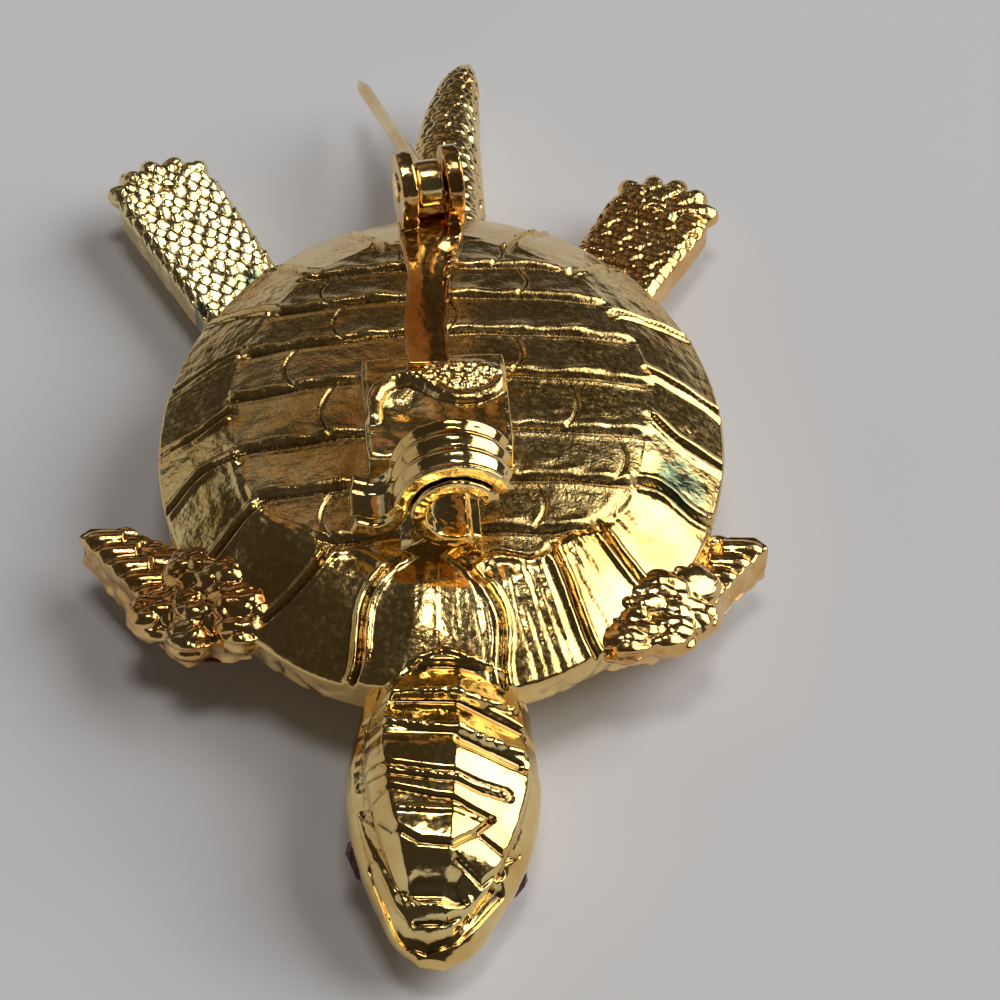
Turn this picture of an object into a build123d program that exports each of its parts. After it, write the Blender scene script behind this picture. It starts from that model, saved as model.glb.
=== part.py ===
"""Turtle brooch: a cast turtle lying belly up on its carapace, with a hinged pin and a rolling safety catch.

Millimetres and degrees. +Z is up, the head points along -Y and the tail along +Y. The origin is the middle of
the flat on the carapace that the brooch lies on.
"""
from build123d import *
from math import atan2, cos, hypot, radians, sin, sqrt
import os

os.makedirs("parts", exist_ok=True)

# Shell
SHELL_WIDTH = 22.2
SHELL_LENGTH = 27.0
SHELL_THICKNESS = 7.3
RIM_HEIGHT = 4.0
RIM_WALL = 1.0
RIM_UNDERCUT = 0.15
MARGINAL_BAND = 2.9
PLASTRON_RISE = 1.3
REST_FLAT_WIDTH = 8.0

# Cast relief of the shell
SCUTE_LENGTH = 4.9
SCUTE_DEPTH = 2.45
SCUTE_CORNER = 0.35
SCUTE_STAGGER = 0.375
SCUTE_SHIFT = 0.56
RELIEF = 0.22
CHANNEL = 0.42

# Cast relief of the soles and the tail
PEBBLE_PITCH = 0.9
PEBBLE_RELIEF = 0.15
SCALE_PITCH = 1.3
SCALE_COUNT = 9
SCALE_RELIEF = 0.14

# Corners of the ovals that the faceted forms are made through
SHELL_CORNERS = 40
HEAD_CORNERS = 16
TAIL_CORNERS = 12
FOOT_CORNERS = 12
DIGIT_CORNERS = 8
PEBBLE_CORNERS = 6

# Head
HEAD_LENGTH = 13.9
HEAD_WIDTH = 7.2
HEAD_THICKNESS = 5.3
HEAD_SIDE = 0.6
HEAD_BELOW_RIM = 1.0
HEAD_ROLL = 12.0
HEAD_YAW = 1.0
NECK_INSET = 3.45
CHIN_RELIEF = 0.2
CHIN_RIB = 0.42

# Eyes
EYE_DIAMETER = 1.9
EYE_STATION = 0.687
EYE_INSET = 0.95
EYE_LOW = 1.3
EYE_CROWN = 0.5
EYE_GIRDLE = 0.12
EYE_PAVILION = 0.75
EYE_FACETS = 8
EYE_CLEARANCE = 0.02

# Tail
TAIL_LENGTH = 15.1
TAIL_WIDTH = 4.2
TAIL_INSET = 2.9
TAIL_BELOW_RIM = 1.4

# Front feet
FRONT_LENGTH = 6.8
FRONT_WIDTH = 4.6
FRONT_THICKNESS = 1.7
FRONT_BELOW_RIM = 0.8
CLAW_RADIUS = 0.46
CLAW_LENGTH = 1.7
CLAW_COUNT = 4
CLAW_TURN = 30.0

# Hind feet
HIND_REACH = 7.25
HIND_PALM = 4.5
HIND_ANKLE = 4.1
HIND_THICKNESS = 1.6
HIND_BELOW_RIM = 1.25
TOE_RADIUS = 0.6
TOE_COUNT = 5
TOE_FAN = 108.0
SOLE_BEVEL = 0.3

# Finding: the line from hinge to catch, then the soldered pad, the bar and the ears
FINDING_YAW = 4.2
FINDING_SIDE = 0.08
PAD_WIDTH = 5.6
PAD_LENGTH = 5.5
PAD_BACK = 0.75
PAD_SIDE = -0.35
PAD_PROUD = 0.95
PAD_CORNER = 0.35
SOLDER_RIDGE = 0.7
BAR_WIDTH = 1.35
BAR_THICKNESS = 1.0
BAR_PROUD = 0.5
BAR_SIDE = -0.7
EAR_RADIUS = 1.45
EAR_THICKNESS = 0.66
HINGE_REACH = 8.9
HINGE_YAW = 12.0
HINGE_LIFT = 1.25
RIVET_RADIUS = 0.36
RIVET_HEAD_RADIUS = 0.62
RIVET_HEAD = 0.14
RIVET_RUNNING = 0.04

# Pin stem, swung open over the tail
STEM_LENGTH = 18.2
STEM_RADIUS = 0.28
STEM_POINT = 1.8
STEM_DROOP = 24.8
STEM_EYE_RADIUS = 0.95
STEM_EYE_WIDTH = 1.08
STEM_EYE_SIDE = 0.06

# Catch: a fixed hook on a foot, and a sleeve that rolls round it
CATCH_REACH = 8.8
CATCH_RADIUS = 2.4
CATCH_STAND = 0.4
SLEEVE_WALL = 0.62
SLEEVE_LENGTH = 2.6
SLEEVE_START = 26.0
SLEEVE_SWEEP = 150.0
SLEEVE_RUNNING = 0.07
SLEEVE_GROOVE = 0.42
SLEEVE_GROOVE_DEPTH = 0.22
TAB_RADIUS = 0.95
TAB_SWEEP = 110.0
TAB_LIP = 0.45
HOOK_WALL = 0.6
HOOK_OVERHANG = 0.15
HOOK_START = 24.0
HOOK_SWEEP = 268.0
FOOT_LEFT = 2.1
FOOT_RIGHT = 0.95

# Rings of the plastron's dome, as shares of the reach of its field
DOME_RINGS = [0.25, 0.60, 1.00]
# Rings of the carapace between the rim and the flat: shares of the half width and of the rim height
CARAPACE_RINGS = [
    (0.93, 0.56),
    (0.82, 0.36),
    (0.66, 0.18),
]
# Steps of each marginal plate round the shell
MARGINAL_STEPS = 3
# Borders between the marginal plates: angles round the shell at the field's edge and at the rim
MARGINAL_BORDERS = [
    (-177.9, -175.6),
    (-163.8, -163.8),
    (-144.9, -148.9),
    (-123.5, -130.0),
    (-101.7, -109.4),
    (-81.4, -74.2),
    (-59.6, -55.4),
    (-40.0, -42.0),
    (-24.4, -18.8),
    (-4.1, -7.6),
    (12.7, 5.5),
    (32.0, 27.0),
    (52.0, 49.0),
    (71.0, 69.0),
    (90.0, 90.0),
    (109.0, 111.0),
    (128.0, 131.0),
    (146.0, 150.0),
    (162.2, 168.3),
]
# Crown of the head: shares of its length, width and thickness, and of the thickness for the middle's height
CROWN_STATIONS = [
    (0.000, 0.78, 0.70, -0.05),
    (0.259, 0.89, 0.80, -0.04),
    (0.483, 1.00, 0.86, -0.06),
    (0.690, 0.88, 0.78, -0.09),
    (0.862, 0.60, 0.54, -0.15),
    (0.966, 0.34, 0.30, -0.20),
    (1.000, 0.16, 0.12, -0.22),
]
# Chin, which is up: the same columns
CHIN_STATIONS = [
    (0.000, 0.66, 0.74, 0.06),
    (0.259, 0.76, 0.80, 0.08),
    (0.483, 0.86, 0.84, 0.10),
    (0.690, 0.70, 0.70, 0.08),
    (0.828, 0.46, 0.50, 0.00),
    (0.922, 0.22, 0.26, -0.08),
]
# Ribs across the chin, as shares of the head's length
RIB_STATIONS = [0.233, 0.310, 0.422, 0.560, 0.664]
# Lens-shaped plate of the chin: shares of the head's length, width and length for its place and half axes
LENS_PLATE = (0.733, 0.28, 0.05)
# Tail: shares of its length and width, and of the width for the sideways shift
TAIL_STATIONS = [
    (0.00, 1.00, 0.00),
    (0.35, 0.84, -0.02),
    (0.60, 0.70, 0.00),
    (0.82, 0.52, 0.07),
    (0.94, 0.34, 0.14),
    (1.00, 0.12, 0.19),
]
# Outline of a scale of the tail: shares of the pitch, of the turn to the next scale and of the relief
SCALE_OUTLINE = [
    (0.10, -0.36, 0),
    (0.10, 0.36, 0),
    (0.60, -0.42, 1),
    (0.60, 0.42, 1),
    (0.95, 0.00, 1),
]
# Rings of a pebble of the soles: shares of the pitch for the radius and of the relief for the height
PEBBLE_RINGS = [
    (0.47, 0),
    (0.47, -1),
    (0.30, 1),
]
# Outline of a front foot, from the wrist round the claw side: shares of its length and width
FRONT_OUTLINE = [
    (0.00, -0.40),
    (0.47, -0.20),
    (0.78, -0.24),
    (0.97, -0.10),
    (1.00, 0.04),
    (0.46, 0.46),
    (0.30, 0.44),
    (0.06, 0.54),
    (-0.20, 0.40),
]
# Wrists: shares of the shell's half width and half length, heading, and the side that the claws are on
FRONT_FEET = [
    (-0.703, -0.511, 155.0, 1),
    (0.586, -0.563, 27.0, -1),
]
# Ankles: shares of the shell's half width and half length, heading, and share of the reach to the palm
HIND_FEET = [
    (-0.757, 0.770, 118.0, 1.00),
    (0.577, 0.785, 63.0, 0.76),
]
# Solder ridge across the pad: shares of its width from the middle and of its length from the back
SOLDER_PATH = [
    (-0.40, 0.50),
    (-0.20, 0.24),
    (0.14, 0.42),
    (0.40, 0.36),
]

# Worked out from the sizes above
RIM_RADIUS = SHELL_WIDTH / 2
SHELL_FRONT = SHELL_LENGTH / 2
STRETCH = SHELL_LENGTH / SHELL_WIDTH
FIELD_RADIUS = RIM_RADIUS - MARGINAL_BAND
FIELD_EDGE = SHELL_THICKNESS - PLASTRON_RISE
DOME_RADIUS = (FIELD_RADIUS**2 + PLASTRON_RISE**2) / (2 * PLASTRON_RISE)


def oval(frame, centre, across, along, corners):
    """The corners of an oval ring in a frame, about a local centre, from its two half axes."""
    ring = []
    for corner in range(corners):
        angle = radians(360 * corner / corners)
        x, y, z = centre
        ring.append(frame.from_local_coords((x + across * cos(angle), y + along * sin(angle), z)))
    return ring


def shell_ring(reach, height):
    """The corners of the shell's outline at a reach to the side and a height."""
    return oval(Plane.XY, (0, 0, height), reach, reach * STRETCH, SHELL_CORNERS)


def dome_height(reach):
    """The height of the plastron's dome at a reach to the side of its middle."""
    return SHELL_THICKNESS - DOME_RADIUS + sqrt(DOME_RADIUS**2 - reach**2)


def plastron_height(x, y):
    """The height of the plastron above a point of its plan."""
    return dome_height(hypot(x, y / STRETCH))


def plastron_plane(x, y, raised):
    """The plane that touches the plastron's dome above a point of its plan, raised by some height."""
    radial = sqrt(DOME_RADIUS**2 - x**2 - (y / STRETCH) ** 2)
    normal = Vector(x / radial, y / (STRETCH**2 * radial), 1).normalized()
    origin = Vector(x, y, plastron_height(x, y)) + normal * raised
    return Plane(origin=origin, x_dir=Vector(1, 0, -x / radial), z_dir=normal)


# Shell core: plastron dome, sloping rim, rim wall and carapace, faceted through oval rings
with BuildPart() as shell_core:
    rings = [shell_ring(share * FIELD_RADIUS, dome_height(share * FIELD_RADIUS)) for share in DOME_RINGS]
    rings.append(shell_ring(RIM_RADIUS - RELIEF / 2, RIM_HEIGHT))
    rings.append(shell_ring(RIM_RADIUS - RIM_UNDERCUT, RIM_HEIGHT - RIM_WALL))
    for reach_share, height_share in CARAPACE_RINGS:
        rings.append(shell_ring(reach_share * RIM_RADIUS, height_share * RIM_HEIGHT))
    rings.append(shell_ring(REST_FLAT_WIDTH / 2, 0))
    ConvexPolyhedron([corner for ring in rings for corner in ring])

# Scutes: rows of raised plates with staggered joints, trimmed to the field of the dome
with BuildPart() as scutes:
    trim_radius = FIELD_RADIUS - CHANNEL
    rows = 2 * (int(FIELD_RADIUS * STRETCH / SCUTE_DEPTH) + 1)
    columns = int(2 * FIELD_RADIUS / SCUTE_LENGTH) + 4
    for row in range(rows):
        y = (row - rows / 2 + 0.5) * SCUTE_DEPTH
        row_start = SCUTE_SHIFT - (row * SCUTE_STAGGER) % 1 - columns // 2
        for column in range(columns):
            x = (row_start + column + 0.5) * SCUTE_LENGTH
            if hypot(x, y / STRETCH) < trim_radius + SCUTE_LENGTH / 2:
                with BuildSketch(plastron_plane(x, y, RELIEF)) as plate:
                    Rectangle(SCUTE_LENGTH - CHANNEL, SCUTE_DEPTH - CHANNEL)
                    chamfer(plate.vertices(), SCUTE_CORNER)
                extrude(amount=-RELIEF - CHANNEL)
    with BuildSketch(Plane.XY.offset(RIM_HEIGHT)) as field:
        trim = oval(Plane.XY, (0, 0, 0), trim_radius, trim_radius * STRETCH, SHELL_CORNERS)
        Polygon(*[(corner.X, corner.Y) for corner in trim], align=None)
    extrude(field.sketch, amount=SHELL_THICKNESS, mode=Mode.INTERSECT)

# Marginals: raised plates round the sloping rim, parted by slanting channels
with BuildPart() as marginals:
    slope = atan2(FIELD_EDGE - RIM_HEIGHT, MARGINAL_BAND)
    out = RELIEF * sin(slope)
    lift = RELIEF * cos(slope)
    band_section = [
        (FIELD_RADIUS + CHANNEL, FIELD_EDGE - 2 * CHANNEL),
        (FIELD_RADIUS, FIELD_EDGE),
        (FIELD_RADIUS + out, FIELD_EDGE + lift),
        (RIM_RADIUS - RELIEF, RIM_HEIGHT + lift),
        (RIM_RADIUS, RIM_HEIGHT - RELIEF),
        (RIM_RADIUS - 2 * RELIEF, RIM_HEIGHT - 2 * CHANNEL),
    ]
    for plate in range(len(MARGINAL_BORDERS)):
        start_inner, start_outer = MARGINAL_BORDERS[plate - 1]
        end_inner, end_outer = MARGINAL_BORDERS[plate]
        turn = 360 if plate == 0 else 0
        corners = []
        for reach, height in band_section:
            share = (reach - FIELD_RADIUS) / MARGINAL_BAND
            gap = CHANNEL / 2 / reach
            start = radians(start_inner + (start_outer - start_inner) * share - turn) + gap
            end = radians(end_inner + (end_outer - end_inner) * share) - gap
            for step in range(MARGINAL_STEPS + 1):
                angle = start + (end - start) * step / MARGINAL_STEPS
                corners.append((reach * cos(angle), reach * STRETCH * sin(angle), height))
        ConvexPolyhedron(corners)

# Shell: the core with its relief
with BuildPart() as shell:
    add(shell_core.part)
    add(scutes.part)
    add(marginals.part)

# Head: a crown that the eyes sit in and a narrower chin, both faceted along the head's rolled axis
HEAD_START = SHELL_FRONT - NECK_INSET
HEAD_FORWARD = Vector(-sin(radians(HEAD_YAW)), -cos(radians(HEAD_YAW)), 0)
HEAD_FRAME = Plane(
    origin=Vector(HEAD_SIDE, 0, RIM_HEIGHT - HEAD_BELOW_RIM) + HEAD_FORWARD * HEAD_START,
    x_dir=Vector(cos(radians(HEAD_ROLL)), 0, -sin(radians(HEAD_ROLL))),
    z_dir=HEAD_FORWARD,
)


def head_corners(stations, swell):
    """The corners of a head form through its oval sections, grown by a swell."""
    corners = []
    for station, width, thickness, middle in stations:
        centre = (0, middle * HEAD_THICKNESS, station * HEAD_LENGTH)
        across = width * HEAD_WIDTH / 2 + swell
        along = thickness * HEAD_THICKNESS / 2 + swell
        corners += oval(HEAD_FRAME, centre, across, along, HEAD_CORNERS)
    return corners


with BuildPart() as chin_relief:
    ConvexPolyhedron(head_corners(CHIN_STATIONS, CHIN_RELIEF))
    with BuildSketch(Plane.XY.offset(RIM_HEIGHT)) as relief_plan:
        for station in RIB_STATIONS:
            with Locations((HEAD_SIDE, -HEAD_START - station * HEAD_LENGTH)):
                Rectangle(HEAD_WIDTH, CHIN_RIB)
        with Locations((HEAD_SIDE, -HEAD_START - LENS_PLATE[0] * HEAD_LENGTH)):
            lens_half_width = LENS_PLATE[1] * HEAD_WIDTH
            lens_half_length = LENS_PLATE[2] * HEAD_LENGTH
            Polygon(
                (-lens_half_width, lens_half_length),
                (-lens_half_width / 2, -lens_half_length / 2),
                (0, -lens_half_length),
                (lens_half_width / 2, -lens_half_length / 2),
                (lens_half_width, lens_half_length),
                align=None,
            )
    extrude(relief_plan.sketch, amount=HEAD_THICKNESS, mode=Mode.INTERSECT)

with BuildPart() as head:
    ConvexPolyhedron(head_corners(CROWN_STATIONS, 0))
    ConvexPolyhedron(head_corners(CHIN_STATIONS, 0))
    add(chin_relief.part)

# Tail: faceted through round sections along a gentle curve
TAIL_START = Vector(0, SHELL_FRONT - TAIL_INSET, RIM_HEIGHT - TAIL_BELOW_RIM)
TAIL_FRAME = Plane(origin=TAIL_START, x_dir=(1, 0, 0), z_dir=(0, 1, 0))


def tail_section(reach):
    """The radius and the sideways shift of the tail at a reach along it."""
    share = reach / TAIL_LENGTH
    for (start, width, shift), (end, end_width, end_shift) in zip(TAIL_STATIONS, TAIL_STATIONS[1:]):
        if share <= end:
            part = (share - start) / (end - start)
            radius = (width + (end_width - width) * part) * TAIL_WIDTH / 2
            return radius, (shift + (end_shift - shift) * part) * TAIL_WIDTH


def tail_point(reach, angle, raised):
    """A point of the tail's skin at a reach along it and an angle round it, raised by some height."""
    radius, shift = tail_section(reach)
    across = shift + (radius + raised) * cos(radians(angle))
    return TAIL_FRAME.from_local_coords((across, (radius + raised) * sin(radians(angle)), reach))


with BuildPart() as tail_core:
    corners = []
    for station, width, shift in TAIL_STATIONS:
        centre = (shift * TAIL_WIDTH, 0, station * TAIL_LENGTH)
        corners += oval(TAIL_FRAME, centre, width * TAIL_WIDTH / 2, width * TAIL_WIDTH / 2, TAIL_CORNERS)
    ConvexPolyhedron(corners)

# Scales of the tail: staggered rings of shingles whose raised ends point to the tip
with BuildPart() as tail_scales:
    scale_turn = 360 / SCALE_COUNT
    for ring in range(int(TAIL_LENGTH / SCALE_PITCH)):
        for place in range(SCALE_COUNT):
            corners = []
            for ahead, aside, raised in SCALE_OUTLINE:
                reach = (ring + ahead) * SCALE_PITCH
                angle = (place + ring % 2 / 2 + aside) * scale_turn
                for height in (raised * SCALE_RELIEF, -2 * SCALE_RELIEF):
                    corners.append(tail_point(reach, angle, height))
            ConvexPolyhedron(corners)

with BuildPart() as tail:
    add(tail_core.part)
    add(tail_scales.part)


def heading(angle):
    """The level direction at an angle from +X."""
    return Vector(cos(radians(angle)), sin(radians(angle)), 0)


def shell_point(side_share, length_share, height):
    """A point at shares of the shell's half width and half length, at a height."""
    return Vector(side_share * RIM_RADIUS, length_share * SHELL_FRONT, height)


def digit(tip, way, radius, length):
    """A blunt claw or toe that ends at its tip, tapered over its last third."""
    frame = Plane(origin=tip, z_dir=way)
    corners = []
    for back, share in ((length, 1), (length / 3, 1), (0, 0.45)):
        corners += oval(frame, (0, 0, -back), share * radius, share * radius, DIGIT_CORNERS)
    with BuildPart() as finger:
        ConvexPolyhedron(corners)
    return finger.part


def pebbles(sole, along):
    """Low pebbles in staggered rows over a sole's face, each of them clear of the face's edge."""
    lattice = Plane(origin=sole.center(), x_dir=along, z_dir=(0, 0, 1))
    row_pitch = 0.87 * PEBBLE_PITCH
    count = int(sole.bounding_box().diagonal / 2 / row_pitch) + 1
    with BuildPart() as relief:
        for row in range(-count, count + 1):
            for column in range(-count, count + 1):
                x = (column + row % 2 / 2) * PEBBLE_PITCH
                corners = []
                for radius, height in PEBBLE_RINGS:
                    centre = (x, row * row_pitch, height * PEBBLE_RELIEF)
                    corners += oval(lattice, centre, radius * PEBBLE_PITCH, radius * PEBBLE_PITCH, PEBBLE_CORNERS)
                if all(sole.is_inside(corner) for corner in corners[:PEBBLE_CORNERS]):
                    ConvexPolyhedron(corners)
    return relief.part


def front_foot(wrist, along, side):
    """A flat flipper with its sole up and a row of parallel claws along its forward edge."""
    across = along.rotate(Axis.Z, 90 * side)
    corners = []
    for share, cross in FRONT_OUTLINE:
        corners.append(wrist + along * (share * FRONT_LENGTH) + across * (cross * FRONT_WIDTH))
    row_start = corners[4]
    row_end = corners[5]
    claw_way = along.rotate(Axis.Z, CLAW_TURN * side)
    claw_drop = Vector(0, 0, -CLAW_RADIUS / 3)
    with BuildPart() as foot:
        with BuildSketch(Plane.XY.offset(wrist.Z - FRONT_THICKNESS)):
            with BuildLine():
                Polyline(*[(corner.X, corner.Y) for corner in corners[::side]], close=True)
            make_face()
        extrude(amount=FRONT_THICKNESS)
        chamfer(foot.faces().filter_by(Axis.Z).edges(), SOLE_BEVEL)
        add(pebbles(foot.faces().sort_by(Axis.Z)[-1], along))
        for claw in range(CLAW_COUNT):
            tip = row_start + (row_end - row_start) * ((claw + 0.5) / CLAW_COUNT) + claw_drop
            add(digit(tip, claw_way, CLAW_RADIUS, CLAW_LENGTH))
    return foot.part


def hind_foot(ankle, along, reach):
    """A rounded paddle with its sole up and toes fanned round its palm."""
    palm = ankle + along * reach
    toe_drop = Vector(0, 0, -0.7 * TOE_RADIUS)
    corners = []
    for drop, inset in ((0, 1), (1, 0), (HIND_THICKNESS / SOLE_BEVEL - 1, 0), (HIND_THICKNESS / SOLE_BEVEL, 1)):
        for joint, width in ((ankle, HIND_ANKLE), (palm, HIND_PALM)):
            radius = width / 2 - inset * SOLE_BEVEL
            centre = joint - Vector(0, 0, drop * SOLE_BEVEL)
            corners += oval(Plane.XY, centre, radius, radius, FOOT_CORNERS)
    with BuildPart() as foot:
        ConvexPolyhedron(corners)
        add(pebbles(foot.faces().sort_by(Axis.Z)[-1], along))
        for toe in range(TOE_COUNT):
            way = along.rotate(Axis.Z, (toe / (TOE_COUNT - 1) - 0.5) * TOE_FAN)
            tip = palm + way * (0.75 * HIND_PALM - TOE_RADIUS) + toe_drop
            add(digit(tip, way, TOE_RADIUS, HIND_PALM / 2 - TOE_RADIUS))
    return foot.part


with BuildPart() as limbs:
    for side_share, length_share, angle, side in FRONT_FEET:
        wrist = shell_point(side_share, length_share, RIM_HEIGHT - FRONT_BELOW_RIM)
        add(front_foot(wrist, heading(angle), side))
    for side_share, length_share, angle, reach_share in HIND_FEET:
        ankle = shell_point(side_share, length_share, RIM_HEIGHT - HIND_BELOW_RIM)
        add(hind_foot(ankle, heading(angle), reach_share * HIND_REACH))

# Finding: all of it stands along one line over the plastron, turned by its yaw
FINDING_RIGHT = heading(FINDING_YAW)
FINDING_BACK = heading(FINDING_YAW + 90)
FINDING_ORIGIN = Vector(FINDING_SIDE, 0, 0)
PAD_TOP = SHELL_THICKNESS + PAD_PROUD
BAR_TOP = PAD_TOP + BAR_PROUD
HINGE_POINT = FINDING_ORIGIN + FINDING_BACK * HINGE_REACH + Vector(0, 0, BAR_TOP + HINGE_LIFT)
HINGE_AXIS = heading(HINGE_YAW)
EAR_GAP = STEM_EYE_WIDTH / 2 + STEM_EYE_SIDE
EAR_OUTER = EAR_GAP + EAR_THICKNESS
CATCH_HEIGHT = plastron_height(0, CATCH_REACH) + CATCH_STAND + CATCH_RADIUS
CATCH_POINT = FINDING_ORIGIN - FINDING_BACK * CATCH_REACH + Vector(0, 0, CATCH_HEIGHT)
HOOK_OUTER = CATCH_RADIUS - SLEEVE_WALL - SLEEVE_RUNNING
HOOK_INNER = HOOK_OUTER - HOOK_WALL


def finding_plane(height):
    """A level plane at a height, with x to the right of the finding and y towards its hinge."""
    return Plane(origin=FINDING_ORIGIN + Vector(0, 0, height), x_dir=FINDING_RIGHT, z_dir=(0, 0, 1))


def catch_plane(back):
    """The plane across the catch, some way back from its front face, seen from the head."""
    return Plane(origin=CATCH_POINT + FINDING_BACK * back, x_dir=FINDING_RIGHT, z_dir=-FINDING_BACK)


def hinge_plane(side):
    """The plane across the hinge, some way along its axis, with x backwards and y up."""
    return Plane(origin=HINGE_POINT + HINGE_AXIS * side, x_dir=heading(HINGE_YAW + 90), z_dir=HINGE_AXIS)


def ring_sector(inner, outer, start, sweep):
    """A sector of a flat ring about the catch's axis, as a face in the current sketch."""
    with BuildLine() as outline:
        CenterArc((0, 0), outer, start, sweep)
        CenterArc((0, 0), inner, start, sweep)
        for angle in (start, start + sweep):
            PolarLine(heading(angle) * inner, outer - inner, angle)
    make_face(outline.edges())


# Pad: a soldered block, with a ridge of solder across its top
with BuildPart() as pad:
    ridge_sink = SOLDER_RIDGE / 7
    with BuildSketch(finding_plane(FIELD_EDGE)):
        with Locations((PAD_SIDE, PAD_BACK - PAD_LENGTH / 2)):
            RectangleRounded(PAD_WIDTH, PAD_LENGTH, PAD_CORNER)
    extrude(amount=PAD_TOP - FIELD_EDGE)
    with BuildSketch(finding_plane(PAD_TOP - ridge_sink)):
        with BuildLine():
            Spline(*[(PAD_SIDE + side * PAD_WIDTH, PAD_BACK - back * PAD_LENGTH) for side, back in SOLDER_PATH])
        trace(line_width=SOLDER_RIDGE)
    extrude(amount=ridge_sink + 0.4 * SOLDER_RIDGE, taper=20)

# Bar: level from the pad to the ears, flared at both ends
with BuildPart() as bar:
    half = BAR_WIDTH / 2
    neck_start = PAD_BACK + 0.8 * BAR_WIDTH
    neck_end = HINGE_REACH - 2.6 * EAR_RADIUS
    fork_start = HINGE_REACH - 1.1 * EAR_RADIUS
    fork_end = HINGE_REACH + 0.5 * EAR_RADIUS
    with BuildSketch(finding_plane(BAR_TOP - BAR_THICKNESS)):
        with BuildLine():
            Polyline(
                (BAR_SIDE - BAR_WIDTH, PAD_BACK - BAR_THICKNESS),
                (BAR_SIDE - BAR_WIDTH, PAD_BACK),
                (BAR_SIDE - half, neck_start),
                (BAR_SIDE / 3 - half, neck_end),
                (-EAR_OUTER, fork_start),
                (-EAR_OUTER, fork_end),
                (EAR_OUTER, fork_end),
                (EAR_OUTER, fork_start),
                (BAR_SIDE / 3 + half, neck_end),
                (BAR_SIDE + half, neck_start),
                (BAR_SIDE + BAR_WIDTH, PAD_BACK),
                (BAR_SIDE + BAR_WIDTH, PAD_BACK - BAR_THICKNESS),
                close=True,
            )
        make_face()
    extrude(amount=BAR_THICKNESS)

# Ears: two round-topped plates that stand on the end of the bar and hold the rivet
with BuildPart() as ears:
    ear_drop = HINGE_LIFT + 0.6 * BAR_THICKNESS
    for side in (-EAR_OUTER, EAR_GAP):
        with BuildSketch(hinge_plane(side)):
            Circle(EAR_RADIUS)
            with Locations((0, -ear_drop / 2)):
                Rectangle(1.5 * EAR_RADIUS, ear_drop)
            Circle(RIVET_RADIUS, mode=Mode.SUBTRACT)
        extrude(amount=EAR_THICKNESS)

# Catch hook: a fixed C on an upright foot
with BuildPart() as catch_hook:
    with BuildSketch(catch_plane(-HOOK_OVERHANG)):
        ring_sector(HOOK_INNER, HOOK_OUTER, HOOK_START, HOOK_SWEEP)
    extrude(amount=-SLEEVE_LENGTH - 2 * HOOK_OVERHANG)
    foot_top = HOOK_WALL / 2 - HOOK_OUTER
    foot_bottom = plastron_height(FOOT_LEFT, CATCH_REACH) - RELIEF - CATCH_HEIGHT
    with BuildSketch(catch_plane(0.1 * SLEEVE_LENGTH)):
        with BuildLine():
            Polyline(
                (-FOOT_LEFT, foot_bottom),
                (FOOT_RIGHT, foot_bottom),
                (FOOT_RIGHT, foot_top - HOOK_WALL / 3),
                (FOOT_RIGHT / 2, foot_top),
                (-FOOT_LEFT / 2, foot_top + HOOK_WALL / 6),
                (-FOOT_LEFT, foot_top - HOOK_WALL),
                close=True,
            )
        make_face()
    extrude(amount=-0.8 * SLEEVE_LENGTH)


# Eyes: faceted stones, table outwards, set into the sides of the head
def eye_plane(side):
    """The girdle plane of an eye, facing out of the head, a little forwards and towards the crown."""
    right = HEAD_FRAME.x_dir
    up = HEAD_FRAME.y_dir
    middle = HEAD_FRAME.origin + HEAD_FORWARD * (EYE_STATION * HEAD_LENGTH) - up * EYE_LOW
    outward = (right * side + HEAD_FORWARD * 0.45 - up * 0.45).normalized()
    level = HEAD_FORWARD - outward * HEAD_FORWARD.dot(outward)
    return Plane(origin=middle + right * (side * (HEAD_WIDTH / 2 - EYE_INSET)), x_dir=level, z_dir=outward)


def stone(plane, grow):
    """A round-cut stone on its girdle plane: table, crown facets, girdle band and pavilion facets."""
    girdle_radius = EYE_DIAMETER / 2 + grow
    levels = [
        (EYE_CROWN + grow, 0.58, 180 / EYE_FACETS),
        (0, 1, 0),
        (-EYE_GIRDLE, 1, 0),
        (-EYE_GIRDLE - EYE_PAVILION - grow, 0.1, 0),
    ]
    corners = []
    for height, share, turn in levels:
        level = plane.offset(height).rotated((0, 0, turn))
        corners += oval(level, (0, 0, 0), share * girdle_radius, share * girdle_radius, EYE_FACETS)
    with BuildPart() as cut:
        ConvexPolyhedron(corners)
    return cut.part


with BuildPart() as eye_left:
    add(stone(eye_plane(-1), 0))

with BuildPart() as eye_right:
    add(stone(eye_plane(1), 0))

# Turtle body: the casting, with its finding soldered on and a seat cut for each eye
with BuildPart() as turtle_body:
    add(shell.part)
    add(head.part)
    add(tail.part)
    add(limbs.part)
    add(pad.part)
    add(bar.part)
    add(ears.part)
    add(catch_hook.part)
    for side in (-1, 1):
        add(stone(eye_plane(side), EYE_CLEARANCE), mode=Mode.SUBTRACT)

# Hinge rivet: fills the ears' holes and stands proud of both ears with flat heads
with BuildPart() as hinge_rivet:
    with BuildSketch(hinge_plane(-EAR_OUTER)):
        Circle(RIVET_RADIUS)
    extrude(amount=2 * EAR_OUTER)
    for side, way in ((-EAR_OUTER, -1), (EAR_OUTER, 1)):
        with BuildSketch(hinge_plane(side)):
            Circle(RIVET_HEAD_RADIUS)
        extrude(amount=way * RIVET_HEAD)

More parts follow.
